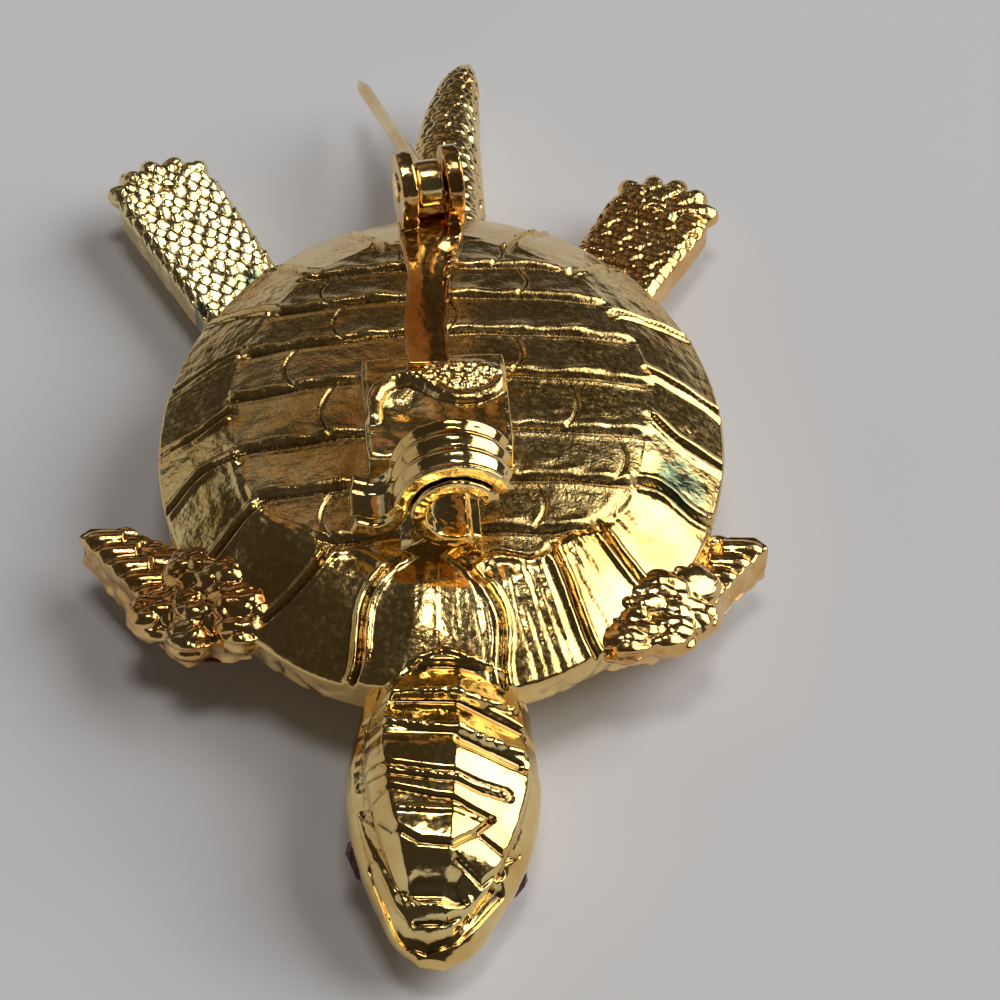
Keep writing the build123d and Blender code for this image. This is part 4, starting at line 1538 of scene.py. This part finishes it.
@dataclass
class HindFoot:
    """A paddle with its pebbled sole up and toes fanned round its palm."""

    name: str
    ankle: Triple
    angle: float
    reach: float
    finish: GoldFinish
    palm_width: float = 4.5
    ankle_width: float = 4.1
    thickness: float = 1.6
    toe_radius: float = 0.6
    toe_count: int = 5
    toe_fan: float = 108.0
    pebble_pitch: float = 0.60
    pebble_height: float = 0.13
    lean: Pair = (0.0, 0.0)
    bevel: float = 0.35
    sides: int = 28
    voxel: float = 0.068
    relax: int = 3

    def form(self) -> Form:
        """The paddle and its toes, overlapping.

        Returns:
            The form.
        """
        ankle, along = Vector(self.ankle), heading(self.angle)
        palm = ankle + along * self.reach
        points: list[Vector] = []
        levels = ((0.0, self.bevel), (0.3, 0.0), (self.thickness - 0.3, 0.0), (self.thickness, self.bevel))
        for drop, inset in levels:
            for centre, width in ((ankle, self.ankle_width), (palm, self.palm_width)):
                radius = width / 2 - inset
                middle = centre - Vector((0, 0, drop))
                points += ring_points(middle, Vector((radius, 0, 0)), Vector((0, radius, 0)), self.sides)
        made = hull_form(points)
        for toe in range(self.toe_count):
            way = heading(self.angle + (toe / (self.toe_count - 1) - 0.5) * self.toe_fan)
            tip = palm + way * (0.75 * self.palm_width - self.toe_radius)
            tip -= Vector((0, 0, 0.7 * self.toe_radius))
            made = made.with_form(digit_form(tip, way, self.toe_radius, self.palm_width / 2))
        return made

    def raise_by(self, places: np.ndarray, normals: np.ndarray) -> np.ndarray:
        """The pebbles of the sole and the unevenness of the sides.

        Args:
            places: The skin's points.
            normals: Its directions.

        Returns:
            Heights along the normals.
        """
        turn = math.radians(self.angle)
        along = places[:, 0] * math.cos(turn) + places[:, 1] * math.sin(turn)
        across = -places[:, 0] * math.sin(turn) + places[:, 1] * math.cos(turn)
        palm = Vector(self.ankle) + heading(self.angle) * self.reach
        from_palm = np.hypot(places[:, 0] - palm.x, places[:, 1] - palm.y)
        on_toes = ease(from_palm, 1.9, 2.3) * (along > palm.dot(heading(self.angle)))
        sole = ease(normals[:, 2], 0.5, 0.85) * (1.0 - on_toes)
        lean_x, lean_y = self.lean
        lean = (
            lean_y * math.cos(turn) - lean_x * math.sin(turn),
            lean_x * math.cos(turn) + lean_y * math.sin(turn),
        )
        bumps = self.pebble_height * (pebbles(across, along, self.pebble_pitch, lean) - 0.75) * sole
        return bumps + 0.05 * swell(places, 0.55, 2.0) * (1.0 - sole)

    def build(self, maker: Maker) -> None:
        """Build the foot.

        Args:
            maker: What places the piece.
        """
        maker.place(self.name, self.form(), self.finish, *CAST, self.voxel, self.relax, self.raise_by)


@dataclass
class FrontFoot:
    """A flipper with its sole up and a row of parallel claws along its forward edge."""

    name: str
    wrist: Triple
    angle: float
    side: int
    length: float = 6.8
    width: float = 4.6
    thickness: float = 1.7
    claw_radius: float = 0.46
    claw_length: float = 1.7
    claw_count: int = 4
    claw_turn: float = 30.0
    shoulder: tuple[Triple, ...] = ()
    shoulder_drop: float = 1.7
    voxel: float = 0.068
    relax: int = 10
    # The sole's corners: shares of the length and of the width
    outline: tuple[Pair, ...] = (
        (0.00, -0.40),
        (0.47, -0.20),
        (0.78, -0.24),
        (0.97, -0.10),
        (1.00, 0.04),
        (0.46, 0.46),
        (0.30, 0.44),
        (0.06, 0.54),
        (-0.20, 0.40),
    )
    # The two corners between which the claws stand
    claw_corners: tuple[int, int] = (4, 5)

    def corners(self) -> list[Vector]:
        """The outline's corners at the height of the sole.

        Returns:
            The corners.
        """
        wrist, along = Vector(self.wrist), heading(self.angle)
        across = heading(self.angle + 90 * self.side)
        return [wrist + along * (u * self.length) + across * (v * self.width) for u, v in self.outline]

    def claw_edge(self) -> tuple[Vector, Vector]:
        """The corners between which the claws stand.

        Returns:
            The first and the last.
        """
        corners = self.corners()
        first, last = self.claw_corners
        return corners[first], corners[last]

    def form(self) -> Form:
        """The flipper and its claws, overlapping.

        Returns:
            The form.
        """
        flat = [(corner.x, corner.y) for corner in self.corners()]
        first, last = self.claw_edge()
        origin = Vector((0, 0, self.wrist[2]))
        made = prism_form(flat, origin, Vector((1, 0, 0)), Vector((0, 1, 0)), Vector((0, 0, -self.thickness)))
        way = heading(self.angle + self.claw_turn * self.side)
        for claw in range(self.claw_count + 1):
            share = (claw + 0.3) / (self.claw_count + 0.6)
            tip = first + (last - first) * share - Vector((0, 0, self.claw_radius / 3))
            made = made.with_form(digit_form(tip, way, self.claw_radius, self.claw_length))
        tops = [Vector(point) for point in self.shoulder]
        sunk, drop = Vector((0.0, 0.0, 0.35)), Vector((0.0, 0.0, self.shoulder_drop))
        made = made.with_form(hull_form([point - sunk for point in tops] + [point - drop for point in tops]))
        middle = sum(tops, Vector()) / len(tops)
        for number, top in enumerate((*tops, middle)):
            inner = top.lerp(middle, 0.28)
            size = 1.15 + 0.2 * math.sin(number * 2.3)
            made = made.with_form(lump_form(inner - Vector((0, 0, 0.8)), Vector((size * 1.25, size, 0.85))))
        return made

    def raise_by(self, places: np.ndarray, normals: np.ndarray) -> np.ndarray:
        """Lumpy scales on the sole.

        Args:
            places: The skin's points.
            normals: Its directions.

        Returns:
            Heights along the normals.
        """
        first, last = self.claw_edge()
        run = (last - first).normalized()
        inward = Vector((-run.y, run.x, 0.0)) * -self.side
        x, y = places[:, 0] - first.x, places[:, 1] - first.y
        away = x * inward.x + y * inward.y
        ahead = x * run.x + y * run.y
        past = ease(ahead - (last - first).length, 0.0, 0.5)
        sole = ease(normals[:, 2], 0.3, 0.7) * np.maximum(ease(np.abs(away), 1.2, 1.7), past)
        scales = 0.22 * (pebbles(places[:, 0] / 1.7, places[:, 1], 0.62) - 0.6)
        lumps = 0.13 * swell(places, 0.8, 6.0) + scales
        walls = 0.22 * swell(places, 1.4, 2.0) + 0.10 * swell(places, 0.5, 4.0) - 0.08
        return lumps * sole + walls * (1.0 - ease(normals[:, 2], 0.3, 0.7))

    def build(self, maker: Maker) -> None:
        """Build the foot.

        Args:
            maker: What places the piece.
        """
        maker.place(self.name, self.form(), CLAW_GOLD, *CAST, self.voxel, self.relax, self.raise_by)


@dataclass
class Eye:
    """A faceted stone, table outwards."""

    name: str
    node: str
    side: int
    head: Head
    diameter: float = 1.9
    station: float = 0.687
    inset: float = 0.95
    low: float = 1.3
    crown: float = 0.5
    girdle: float = 0.12
    pavilion: float = 0.75
    facets: int = 8

    def build(self, maker: Maker) -> None:
        """Build the stone.

        Args:
            maker: What places the piece.
        """
        origin, right, up, ahead = self.head.frame_axes()
        middle = origin + ahead * (self.station * self.head.length) - up * self.low
        out = (right * self.side + ahead * 0.45 - up * 0.45).normalized()
        level = (ahead - out * ahead.dot(out)).normalized()
        level_up = out.cross(level)
        centre = middle + right * (self.side * (self.head.width / 2 - self.inset))
        radius = self.diameter / 2
        points: list[Vector] = []
        # From the table to the tip: height, share of the radius, and turn in facets
        rings = (
            (self.crown, 0.56, 0.5),
            (self.crown * 0.55, 0.82, 0.0),
            (0.0, 1.0, 0.5),
            (-self.girdle, 1.0, 0.5),
            (-self.girdle - self.pavilion, 0.1, 0.5),
        )
        for height, share, turned in rings:
            for facet in range(self.facets):
                turn = 2 * math.pi * (facet + turned) / self.facets
                spoke = level * math.cos(turn) + level_up * math.sin(turn)
                points.append(centre + out * height + spoke * radius * share)
        form = hull_form(points)
        maker.place(self.name, form, STONE_RED, Body.BASE, (self.node,), Slot.STONE, faceted=True)


# The finding


@dataclass
class Finding:
    """The soldered pad, the bar, the ears and the fixed hook with its foot."""

    yaw: float = 4.2
    side: float = 0.08
    pad_width: float = 5.6
    pad_length: float = 5.5
    pad_back: float = 0.75
    pad_side: float = -0.35
    pad_bottom: float = 6.2
    pad_top: float = 8.25
    bar_width: float = 1.65
    bar_thickness: float = 1.0
    bar_top: float = 8.75
    bar_side: float = -0.56
    ear_radius: float = 1.45
    ear_thickness: float = 0.66
    ear_gap: float = 0.60
    hinge_reach: float = 8.9
    hinge_yaw: float = 12.0
    hinge_height: float = 10.0
    catch_reach: float = 8.8
    catch_height: float = 9.0935
    hook_outer: float = 1.71
    hook_inner: float = 1.11
    hook_start: float = 24.0
    hook_sweep: float = 268.0
    sleeve_length: float = 2.6
    neck_width: float = 1.7
    bar_voxel: float = 0.07
    hook_voxel: float = 0.065
    relax: int = 6
    pad_steps: int = 120
    ear_turns: int = 40
    hook_turns: int = 90
    ridge_half: float = 0.36
    # The ridge of solder on the pad: shares of the pad's width and length
    solder_path: tuple[Pair, ...] = (
        (-0.44, 0.62),
        (-0.43, 0.46),
        (-0.38, 0.34),
        (-0.28, 0.26),
        (-0.16, 0.26),
        (-0.05, 0.32),
        (0.05, 0.41),
        (0.15, 0.46),
        (0.27, 0.46),
        (0.38, 0.41),
        (0.45, 0.34),
    )
    # The hook's foot, seen along the hook from its middle
    foot: tuple[Pair, ...] = (
        (-2.1, -3.35),
        (0.95, -3.35),
        (0.95, -1.61),
        (0.475, -1.41),
        (-1.05, -1.31),
        (-2.1, -2.01),
    )

    def right(self) -> Vector:
        """The finding's direction to the right."""
        return heading(self.yaw)

    def back(self) -> Vector:
        """The finding's direction towards its hinge."""
        return heading(self.yaw + 90)

    def at(self, aside: float, along: float, height: float) -> Vector:
        """A point of the finding.

        Args:
            aside: To the right of its middle line.
            along: Towards the hinge.
            height: Above the floor.

        Returns:
            The point.
        """
        return Vector((self.side, 0, height)) + self.right() * aside + self.back() * along

    def pad_net(self) -> np.ndarray:
        """The pad: its solder-covered top and its four walls.

        Returns:
            Points as rows, columns and three coordinates.
        """
        steps = np.concatenate(([-1.0] * 3, np.linspace(-0.985, 0.985, self.pad_steps), [1.0] * 3))
        drop = np.concatenate(([2.0, 1.0, 0.12], np.zeros(self.pad_steps), [0.12, 1.0, 2.0]))
        u, v = np.meshgrid(steps, steps, indexing="ij")
        fall = np.maximum(drop[:, None], drop[None, :])
        squeeze = 1.0 - 0.035 * (u**8 * v**8)
        aside = self.pad_side + u * self.pad_width / 2 * squeeze
        along = self.pad_back - self.pad_length / 2 + v * self.pad_length / 2 * squeeze
        top = self.solder_height(aside, along)
        flat = self.pad_top - 0.1 * np.clip(np.maximum(np.abs(u), np.abs(v)) - 0.93, 0, None) / 0.07
        height = np.where(fall > 0, flat - fall * (self.pad_top - self.pad_bottom) / 2, flat + top)
        right, back = np.array(self.right()), np.array(self.back())
        net = aside[..., None] * right + along[..., None] * back
        net[..., 0] += self.side
        net[..., 2] += height
        return net

    def solder_height(self, aside: np.ndarray, along: np.ndarray) -> np.ndarray:
        """The crumpled solder on the pad: an S-shaped ridge, a grainy heap behind it and a dip before it.

        Args:
            aside: Places to the right.
            along: Places towards the hinge.

        Returns:
            Heights above the pad.
        """
        width, length = self.pad_width, self.pad_length
        path = [(self.pad_side + x * width, self.pad_back - y * length) for x, y in self.solder_path]
        nearest = path_distance(path, aside, along)
        inner = ease(width / 2 - np.abs(aside - self.pad_side), 0.0, 0.25)
        inner *= ease(along - (self.pad_back - length), 0.0, 0.3) * ease(self.pad_back - along, 0.0, 0.3)
        places = np.stack((aside, along, 0 * along), axis=-1)
        heap = np.exp(-(((aside - 0.35) / 1.9) ** 2 + ((along + 0.55) / 0.75) ** 2) ** 2)
        crumple = 0.14 * pebbles(aside, along, 0.27) * heap + 0.06 * swell(places, 0.6, 1.0)
        dip = -0.30 * np.exp(-(((aside + 1.6) / 0.8) ** 2 + ((along + 2.1) / 0.8) ** 2))
        ridge = 0.30 * np.sqrt(np.clip(1.0 - (nearest / self.ridge_half) ** 2, 0.0, None))
        return inner * (ridge + 0.30 * heap * ease(along, -1.5, -0.1) + crumple + dip)

    def bar_form(self) -> Form:
        """The bar from the pad to the ears.

        Returns:
            The closed form.
        """
        half, neck_half = self.bar_width / 2, self.neck_width / 2
        outer = self.ear_gap + self.ear_thickness
        neck = self.hinge_reach - 2.6 * self.ear_radius
        fork = self.hinge_reach - 1.1 * self.ear_radius
        end = self.hinge_reach + 0.5 * self.ear_radius
        tuck = self.pad_back - self.bar_thickness
        start = self.pad_back + 0.65 * self.bar_width
        outline = (
            (self.bar_side - half, tuck),
            (self.bar_side - half, start),
            (self.bar_side / 3 - neck_half, neck),
            (-outer, fork),
            (-outer, end),
            (outer, end),
            (outer, fork),
            (self.bar_side / 3 + neck_half, neck),
            (self.bar_side + half, start),
            (self.bar_side + half, tuck),
        )
        origin = self.at(0, 0, self.bar_top)
        return prism_form(outline, origin, self.right(), self.back(), Vector((0, 0, -self.bar_thickness)))

    def ears_form(self) -> Form:
        """The two round-topped ears that stand on the bar's end.

        Returns:
            The closed forms.
        """
        axis, back = heading(self.hinge_yaw), heading(self.hinge_yaw + 90)
        hinge = self.at(0, self.hinge_reach, self.hinge_height)
        drop = self.hinge_height - self.bar_top + 0.6 * self.bar_thickness
        turns = [math.radians(turn) for turn in np.linspace(-30, 210, self.ear_turns)]
        outline = [(self.ear_radius * math.cos(turn), self.ear_radius * math.sin(turn)) for turn in turns]
        outline += [(-0.75 * self.ear_radius, -drop), (0.75 * self.ear_radius, -drop)]
        starts = (-self.ear_gap - self.ear_thickness, self.ear_gap)
        up, depth = Vector((0, 0, 1)), axis * self.ear_thickness
        left, right = (prism_form(outline, hinge + axis * start, back, up, depth) for start in starts)
        return left.with_form(right)

    def hook_form(self) -> Form:
        """The fixed hook, drawn out across its length, and the foot that it stands on.

        Returns:
            The closed forms.
        """
        hook_end = self.hook_start + self.hook_sweep
        turns = np.radians(np.linspace(self.hook_start, hook_end, self.hook_turns))
        outer, inner = self.hook_outer, self.hook_inner
        outline = [(outer * math.cos(turn), outer * math.sin(turn)) for turn in turns]
        outline += [(inner * math.cos(turn), inner * math.sin(turn)) for turn in turns[::-1]]
        centre = self.at(0, -self.catch_reach, self.catch_height)
        right, back, up = self.right(), self.back(), Vector((0, 0, 1))
        hook = prism_form(outline, centre - back * 0.15, right, up, back * (self.sleeve_length + 0.3))
        foot = prism_form(self.foot, centre + back * 0.26, right, up, back * 0.8 * self.sleeve_length)
        return hook.with_form(foot)

    def fine_relief(self, places: np.ndarray, normals: np.ndarray) -> np.ndarray:
        """The fine unevenness of worn metal.

        Args:
            places: The skin's points.
            normals: Its directions; not used.

        Returns:
            Heights along the normals.
        """
        return 0.035 * swell(places, 0.8, 2.0) + 0.02 * swell(places, 0.3, 5.0)

    def bar_relief(self, places: np.ndarray, normals: np.ndarray) -> np.ndarray:
        """The bar's worn top, which falls off to the right, and its fine unevenness.

        Args:
            places: The skin's points.
            normals: Its directions.

        Returns:
            Heights along the normals.
        """
        right, back = self.right(), self.back()
        along = places[:, 0] * back.x + places[:, 1] * back.y
        aside = (places[:, 0] - self.side) * right.x + places[:, 1] * right.y
        aside = aside - self.bar_side * (1.0 - 0.67 * ease(along, 1.8, 5.1))
        top = ease(normals[:, 2], 0.5, 0.8) * (1.0 - ease(along, 6.4, 7.1))
        fall = 0.30 * np.clip(aside + 0.25, 0.0, None) ** 1.5 * hill(along, 4.9, 1.5)
        fall = fall + 0.10 * np.clip(aside + 0.1, 0.0, None) ** 2
        fall = fall + 0.9 * np.clip(aside - 0.42, 0.0, None) ** 2
        return self.fine_relief(places, normals) * (1.0 - 0.75 * top) - fall * top

    def build(self, maker: Maker) -> None:
        """Build the pad, the bar with its ears, and the hook.

        Args:
            maker: What places the pieces.
        """
        pad, bar = net_form(self.pad_net(), False, False), self.bar_form().with_form(self.ears_form())
        maker.place("pad", pad, SOLDER_GOLD, *SOLDERED)
        # The bar takes the gold with the painted reflection
        maker.place("bar_and_ears", bar, BAR_REFLECTION_GOLD, *SOLDERED, self.bar_voxel, self.relax, self.bar_relief)
        hook = self.hook_form()
        maker.place("hook", hook, FINDING_GOLD, *SOLDERED, self.hook_voxel, self.relax, self.fine_relief)


@dataclass
class Rivet:
    """The hinge rivet with its domed heads."""

    finding: Finding
    radius: float = 0.36
    head_radius: float = 0.62
    head: float = 0.14
    turns: int = 48
    # A domed head: shares of its height and of its radius
    dome: tuple[Pair, ...] = ((0.0, 1.0), (0.4, 0.94), (0.8, 0.75), (1.0, 0.30))

    def build(self, maker: Maker) -> None:
        """Build the rivet.

        Args:
            maker: What places the piece.
        """
        axis, back = heading(self.finding.hinge_yaw), heading(self.finding.hinge_yaw + 90)
        up = Vector((0, 0, 1))
        centre = self.finding.at(0, self.finding.hinge_reach, self.finding.hinge_height)
        outer = self.finding.ear_gap + self.finding.ear_thickness
        far_side = [(outer, self.radius / self.head_radius)]
        far_side += [(outer + rise * self.head, share) for rise, share in self.dome]
        near_side = [(-along, share) for along, share in reversed(far_side)]
        rows = []
        for along, share in near_side + far_side:
            radius = share * self.head_radius
            ring = ring_points(centre + axis * along, back * radius, up * radius, self.turns)
            rows.append([tuple(point) for point in ring])
        form = net_form(np.array(rows), True, True)
        maker.place("rivet", form, FINDING_GOLD, *RIVETED)


@dataclass
class Stem:
    """The pin stem: an eye on the rivet and a wire drawn to a point."""

    finding: Finding
    length: float = 18.2
    radius: float = 0.28
    point: float = 1.8
    droop: float = 24.8
    eye_radius: float = 0.95
    eye_width: float = 1.08
    bore: float = 0.40
    bore_bevel: float = 0.08
    eye_bevel: float = 0.12
    voxel: float = 0.07
    relax: int = 2
    wire_turns: int = 20
    eye_turns: int = 48
    # Where the wire is full, from the hinge, and how its point tapers: distances back from the tip and radii
    full_at: tuple[float, ...] = (0.62, 6.0, 12.0)
    taper: tuple[Pair, ...] = ((1.2, 0.24), (0.6, 0.15), (0.15, 0.05), (0.0, 0.02))

    def build(self, maker: Maker) -> None:
        """Build the stem.

        Args:
            maker: What places the piece.
        """
        axis, back = heading(self.finding.hinge_yaw), heading(self.finding.hinge_yaw + 90)
        centre = self.finding.at(0, self.finding.hinge_reach, self.finding.hinge_height)
        droop = math.radians(self.droop)
        way = back * math.cos(droop) - Vector((0, 0, math.sin(droop)))
        up = axis.cross(way)
        profile = [(along, self.radius) for along in (*self.full_at, self.length - self.point)]
        profile += [(self.length - left, radius) for left, radius in self.taper]
        rows = []
        for along, radius in profile:
            ring = ring_points(centre + way * along, axis * radius, up * radius, self.wire_turns)
            rows.append([tuple(point) for point in ring])
        made = net_form(np.array(rows), True, True)
        half = self.eye_width / 2
        loop = [
            (half - self.bore_bevel, self.bore),
            (half, self.bore + self.bore_bevel),
            (half, self.eye_radius - self.eye_bevel),
            (half - self.eye_bevel, self.eye_radius),
        ]
        loop += [(-aside, reach) for aside, reach in reversed(loop)]
        eye = []
        for turn in np.linspace(0, 2 * math.pi, self.eye_turns, endpoint=False):
            spoke = back * math.cos(turn) + Vector((0, 0, math.sin(turn)))
            eye.append([tuple(centre + axis * aside + spoke * reach) for aside, reach in loop])
        eye.append(eye[0])
        made = made.with_form(net_form(np.array(eye), True, False))
        maker.place("stem_wire", made, WIRE_GOLD, *ON_PIN, self.voxel, self.relax)


@dataclass
class Sleeve:
    """The rolling sleeve: a ridged C round the hook, with its end curled out into a thumb tab."""

    finding: Finding
    radius: float = 2.4
    wall: float = 0.62
    start: float = 26.0
    sweep: float = 150.0
    tab_radius: float = 0.95
    tab_sweep: float = 110.0
    tab_lip: float = 0.45
    ring_steps: int = 70
    curl_steps: int = 40
    lip_steps: int = 8
    sections: int = 54
    voxel: float = 0.06
    relax: int = 3

    def middle_line(self) -> tuple[np.ndarray, np.ndarray]:
        """The line through the middle of the wall, and its outward directions.

        Returns:
            Points and directions in the plane across the catch.
        """
        mean = self.radius - self.wall / 2
        angles = np.radians(np.linspace(self.start, self.start + self.sweep, self.ring_steps))
        points = np.stack((mean * np.cos(angles), mean * np.sin(angles)), axis=-1)
        outs = np.stack((np.cos(angles), np.sin(angles)), axis=-1)
        end = math.radians(self.start + self.sweep)
        hub = (mean + self.tab_radius) * np.array((math.cos(end), math.sin(end)))
        turns = end + math.pi - np.radians(np.linspace(0.0, self.tab_sweep, self.curl_steps)[1:])
        curl = hub + self.tab_radius * np.stack((np.cos(turns), np.sin(turns)), axis=-1)
        curl_outs = -np.stack((np.cos(turns), np.sin(turns)), axis=-1)
        run = curl[-1] - curl[-2]
        run /= np.hypot(*run)
        lip = curl[-1] + run * np.linspace(0.0, self.tab_lip, self.lip_steps)[1:, None]
        lip_outs = np.repeat(curl_outs[-1:], self.lip_steps - 1, axis=0)
        return np.vstack((points, curl, lip)), np.vstack((outs, curl_outs, lip_outs))

    def build(self, maker: Maker) -> None:
        """Build the sleeve.

        Args:
            maker: What places the piece.
        """
        line, outs = self.middle_line()
        length = self.finding.sleeve_length
        # The ring is ridged, and the tab is sunk between its two ends
        on_ring = 1.0 - ease(np.arange(len(line), dtype=float), self.ring_steps - 4.0, self.ring_steps + 6.0)
        centre = self.finding.at(0, -self.finding.catch_reach, self.finding.catch_height)
        right, back = np.array(self.finding.right()), np.array(self.finding.back())
        rows = []
        for step in np.linspace(0.0, 1.0, self.sections):
            inwards = np.array(min(step, 1 - step))
            ridge = 0.5 + 0.5 * math.cos(6 * math.pi * step)
            rim = 1.0 - float(ease(inwards, 0.16, 0.26))
            end = 1.0 - 0.10 * (1 - float(ease(inwards, 0.0, 0.05)))
            outer = self.wall / 2 - 0.22 * (1.0 - ridge**0.6) * on_ring - 0.30 * (1.0 - rim) * (1 - on_ring)
            high = line + outs * (outer * end)[:, None]
            low = line - outs * (self.wall / 2 * end)
            loop = np.vstack((high, low[::-1]))
            section = np.array(centre) + loop[:, :1] * right + loop[:, 1:] * np.array((0, 0, 1.0))
            rows.append(section + step * length * back)
        form = net_form(np.array(rows), True, True)
        maker.place("rolling_sleeve", form, FINDING_GOLD, *ON_HOOK, self.voxel, self.relax, self.raise_by)

    def raise_by(self, places: np.ndarray, normals: np.ndarray) -> np.ndarray:
        """A slight unevenness, and what the melting adds taken off again.

        Args:
            places: The skin's points.
            normals: Its directions; not used.

        Returns:
            Heights along the normals.
        """
        return 0.02 * swell(places, 0.7, 2.0) - 0.02


# The studio


@dataclass(frozen=True)
class Lamp:
    """A soft light: its place and size in metres, its power in watts and its colour."""

    name: str
    place: Triple
    size: Pair
    power: float
    colour: Triple

    def hang(self) -> None:
        """Hang the light so that it faces the brooch."""
        lamp = bpy.data.lights.new(self.name, "AREA")
        lamp.shape = "RECTANGLE"
        lamp.size, lamp.size_y = self.size
        lamp.energy = self.power
        lamp.color = self.colour
        holder = bpy.data.objects.new(self.name, lamp)
        bpy.context.scene.collection.objects.link(holder)
        holder.location = self.place
        holder.rotation_euler = (-Vector(self.place)).to_track_quat("-Z", "Y").to_euler()


@dataclass
class Studio:
    """A pale floor, soft lights and the camera."""

    eye: Triple = (2.3, -101.64, 102.64)
    target: Triple = (2.3, -2.65, 3.65)
    lens: float = 129.6
    sensor: float = 36.0
    nearest: float = 0.005
    floor_half: float = 3.0
    room_colour: Triple = (0.50, 0.43, 0.35)
    room_strength: float = 0.08
    lamps: tuple[Lamp, ...] = (
        Lamp("window_right", (0.94, 0.17, 0.74), (1.25, 1.0), 12.5, (1.0, 0.98, 0.93)),
        Lamp("overhead", (0.02, -0.05, 0.98), (0.26, 0.26), 1.7, (1.0, 0.95, 0.86)),
        Lamp("wall_left", (-1.1, 0.1, 0.30), (1.3, 0.55), 0.9, (0.96, 0.97, 1.0)),
        Lamp("wall_behind", (-0.55, 0.80, 0.70), (0.5, 0.42), 0.14, (0.92, 0.96, 1.0)),
        Lamp("lamp_behind", (-0.22, 0.70, 0.72), (0.50, 0.36), 0.12, (1.0, 0.50, 0.20)),
    )

    def floor(self, maker: Maker) -> None:
        """Lay the floor.

        Args:
            maker: What gives the finish.
        """
        mesh = bpy.data.meshes.new("floor")
        size = self.floor_half
        corners = [(-size, -size, 0), (size, -size, 0), (size, size, 0), (-size, size, 0)]
        mesh.from_pydata(corners, [], [(0, 1, 2, 3)])
        mesh.materials.append(maker.finish(FLOOR_PALE))
        floor = bpy.data.objects.new("floor", mesh)
        bpy.context.scene.collection.objects.link(floor)

    def build(self, maker: Maker) -> None:
        """Set up the floor, the lights, the world and the camera.

        Args:
            maker: What gives the floor's finish.
        """
        self.floor(maker)
        for lamp in self.lamps:
            lamp.hang()
        world = bpy.data.worlds.new("room")
        bpy.context.scene.world = world
        world.use_nodes = True
        back = world.node_tree.nodes["Background"]
        back.inputs["Color"].default_value = (*self.room_colour, 1.0)
        back.inputs["Strength"].default_value = self.room_strength
        camera_data = bpy.data.cameras.new("camera")
        camera_data.lens = self.lens
        camera_data.sensor_width = self.sensor
        camera_data.clip_start = self.nearest
        camera = bpy.data.objects.new("camera", camera_data)
        bpy.context.scene.collection.objects.link(camera)
        eye, target = Vector(self.eye) * MM, Vector(self.target) * MM
        camera.location = eye
        camera.rotation_euler = (target - eye).to_track_quat("-Z", "Y").to_euler()
        bpy.context.scene.camera = camera
        bpy.context.scene.view_settings.view_transform = "Standard"


# The upper corners of the front feet's inner ends, which lie over the shell's rim
LEFT_SHOULDER = (
    (-7.6, -7.3, 5.3),
    (-6.7, -9.0, 5.25),
    (-6.85, -10.6, 4.7),
    (-9.2, -6.1, 4.7),
    (-11.3, -8.4, 3.7),
    (-9.4, -10.4, 4.0),
)
RIGHT_SHOULDER = (
    (9.6, -6.6, 4.3),
    (7.9, -8.0, 5.0),
    (6.9, -9.4, 4.95),
    (6.6, -10.7, 4.7),
    (8.3, -10.2, 4.5),
    (9.9, -8.9, 4.1),
)


def main() -> None:
    """Build every part of the brooch and the studio round it."""
    logging.basicConfig(level=logging.INFO, format="%(name)s %(message)s")
    maker = Maker()
    Studio().build(maker)
    finding = Finding()
    head = Head()
    parts = (
        Shell(),
        head,
        Tail(),
        # The left hind foot takes the painted-light copy of the gold
        HindFoot("hind_foot_left", (-8.403, 10.395, 2.75), 118.0, 7.25, LIT_FOOT_GOLD, lean=(2.2, -1.5)),
        # The right hind foot takes the painted-shade copy of the gold
        HindFoot("hind_foot_right", (6.405, 10.598, 2.75), 63.0, 5.51, SHADED_FOOT_GOLD, pebble_pitch=0.46),
        FrontFoot("front_foot_left", (-7.803, -6.899, 3.2), 155.0, 1, shoulder=LEFT_SHOULDER),
        FrontFoot("front_foot_right", (6.505, -7.601, 3.2), 27.0, -1, shoulder=RIGHT_SHOULDER),
        Eye("stone_left", "eye_left", -1, head),
        Eye("stone_right", "eye_right", 1, head),
        finding,
        Rivet(finding),
        Stem(finding),
        Sleeve(finding),
    )
    for part in parts:
        log.info("building %s", type(part).__name__)
        part.build(maker)


if __name__ == "__main__":
    main()
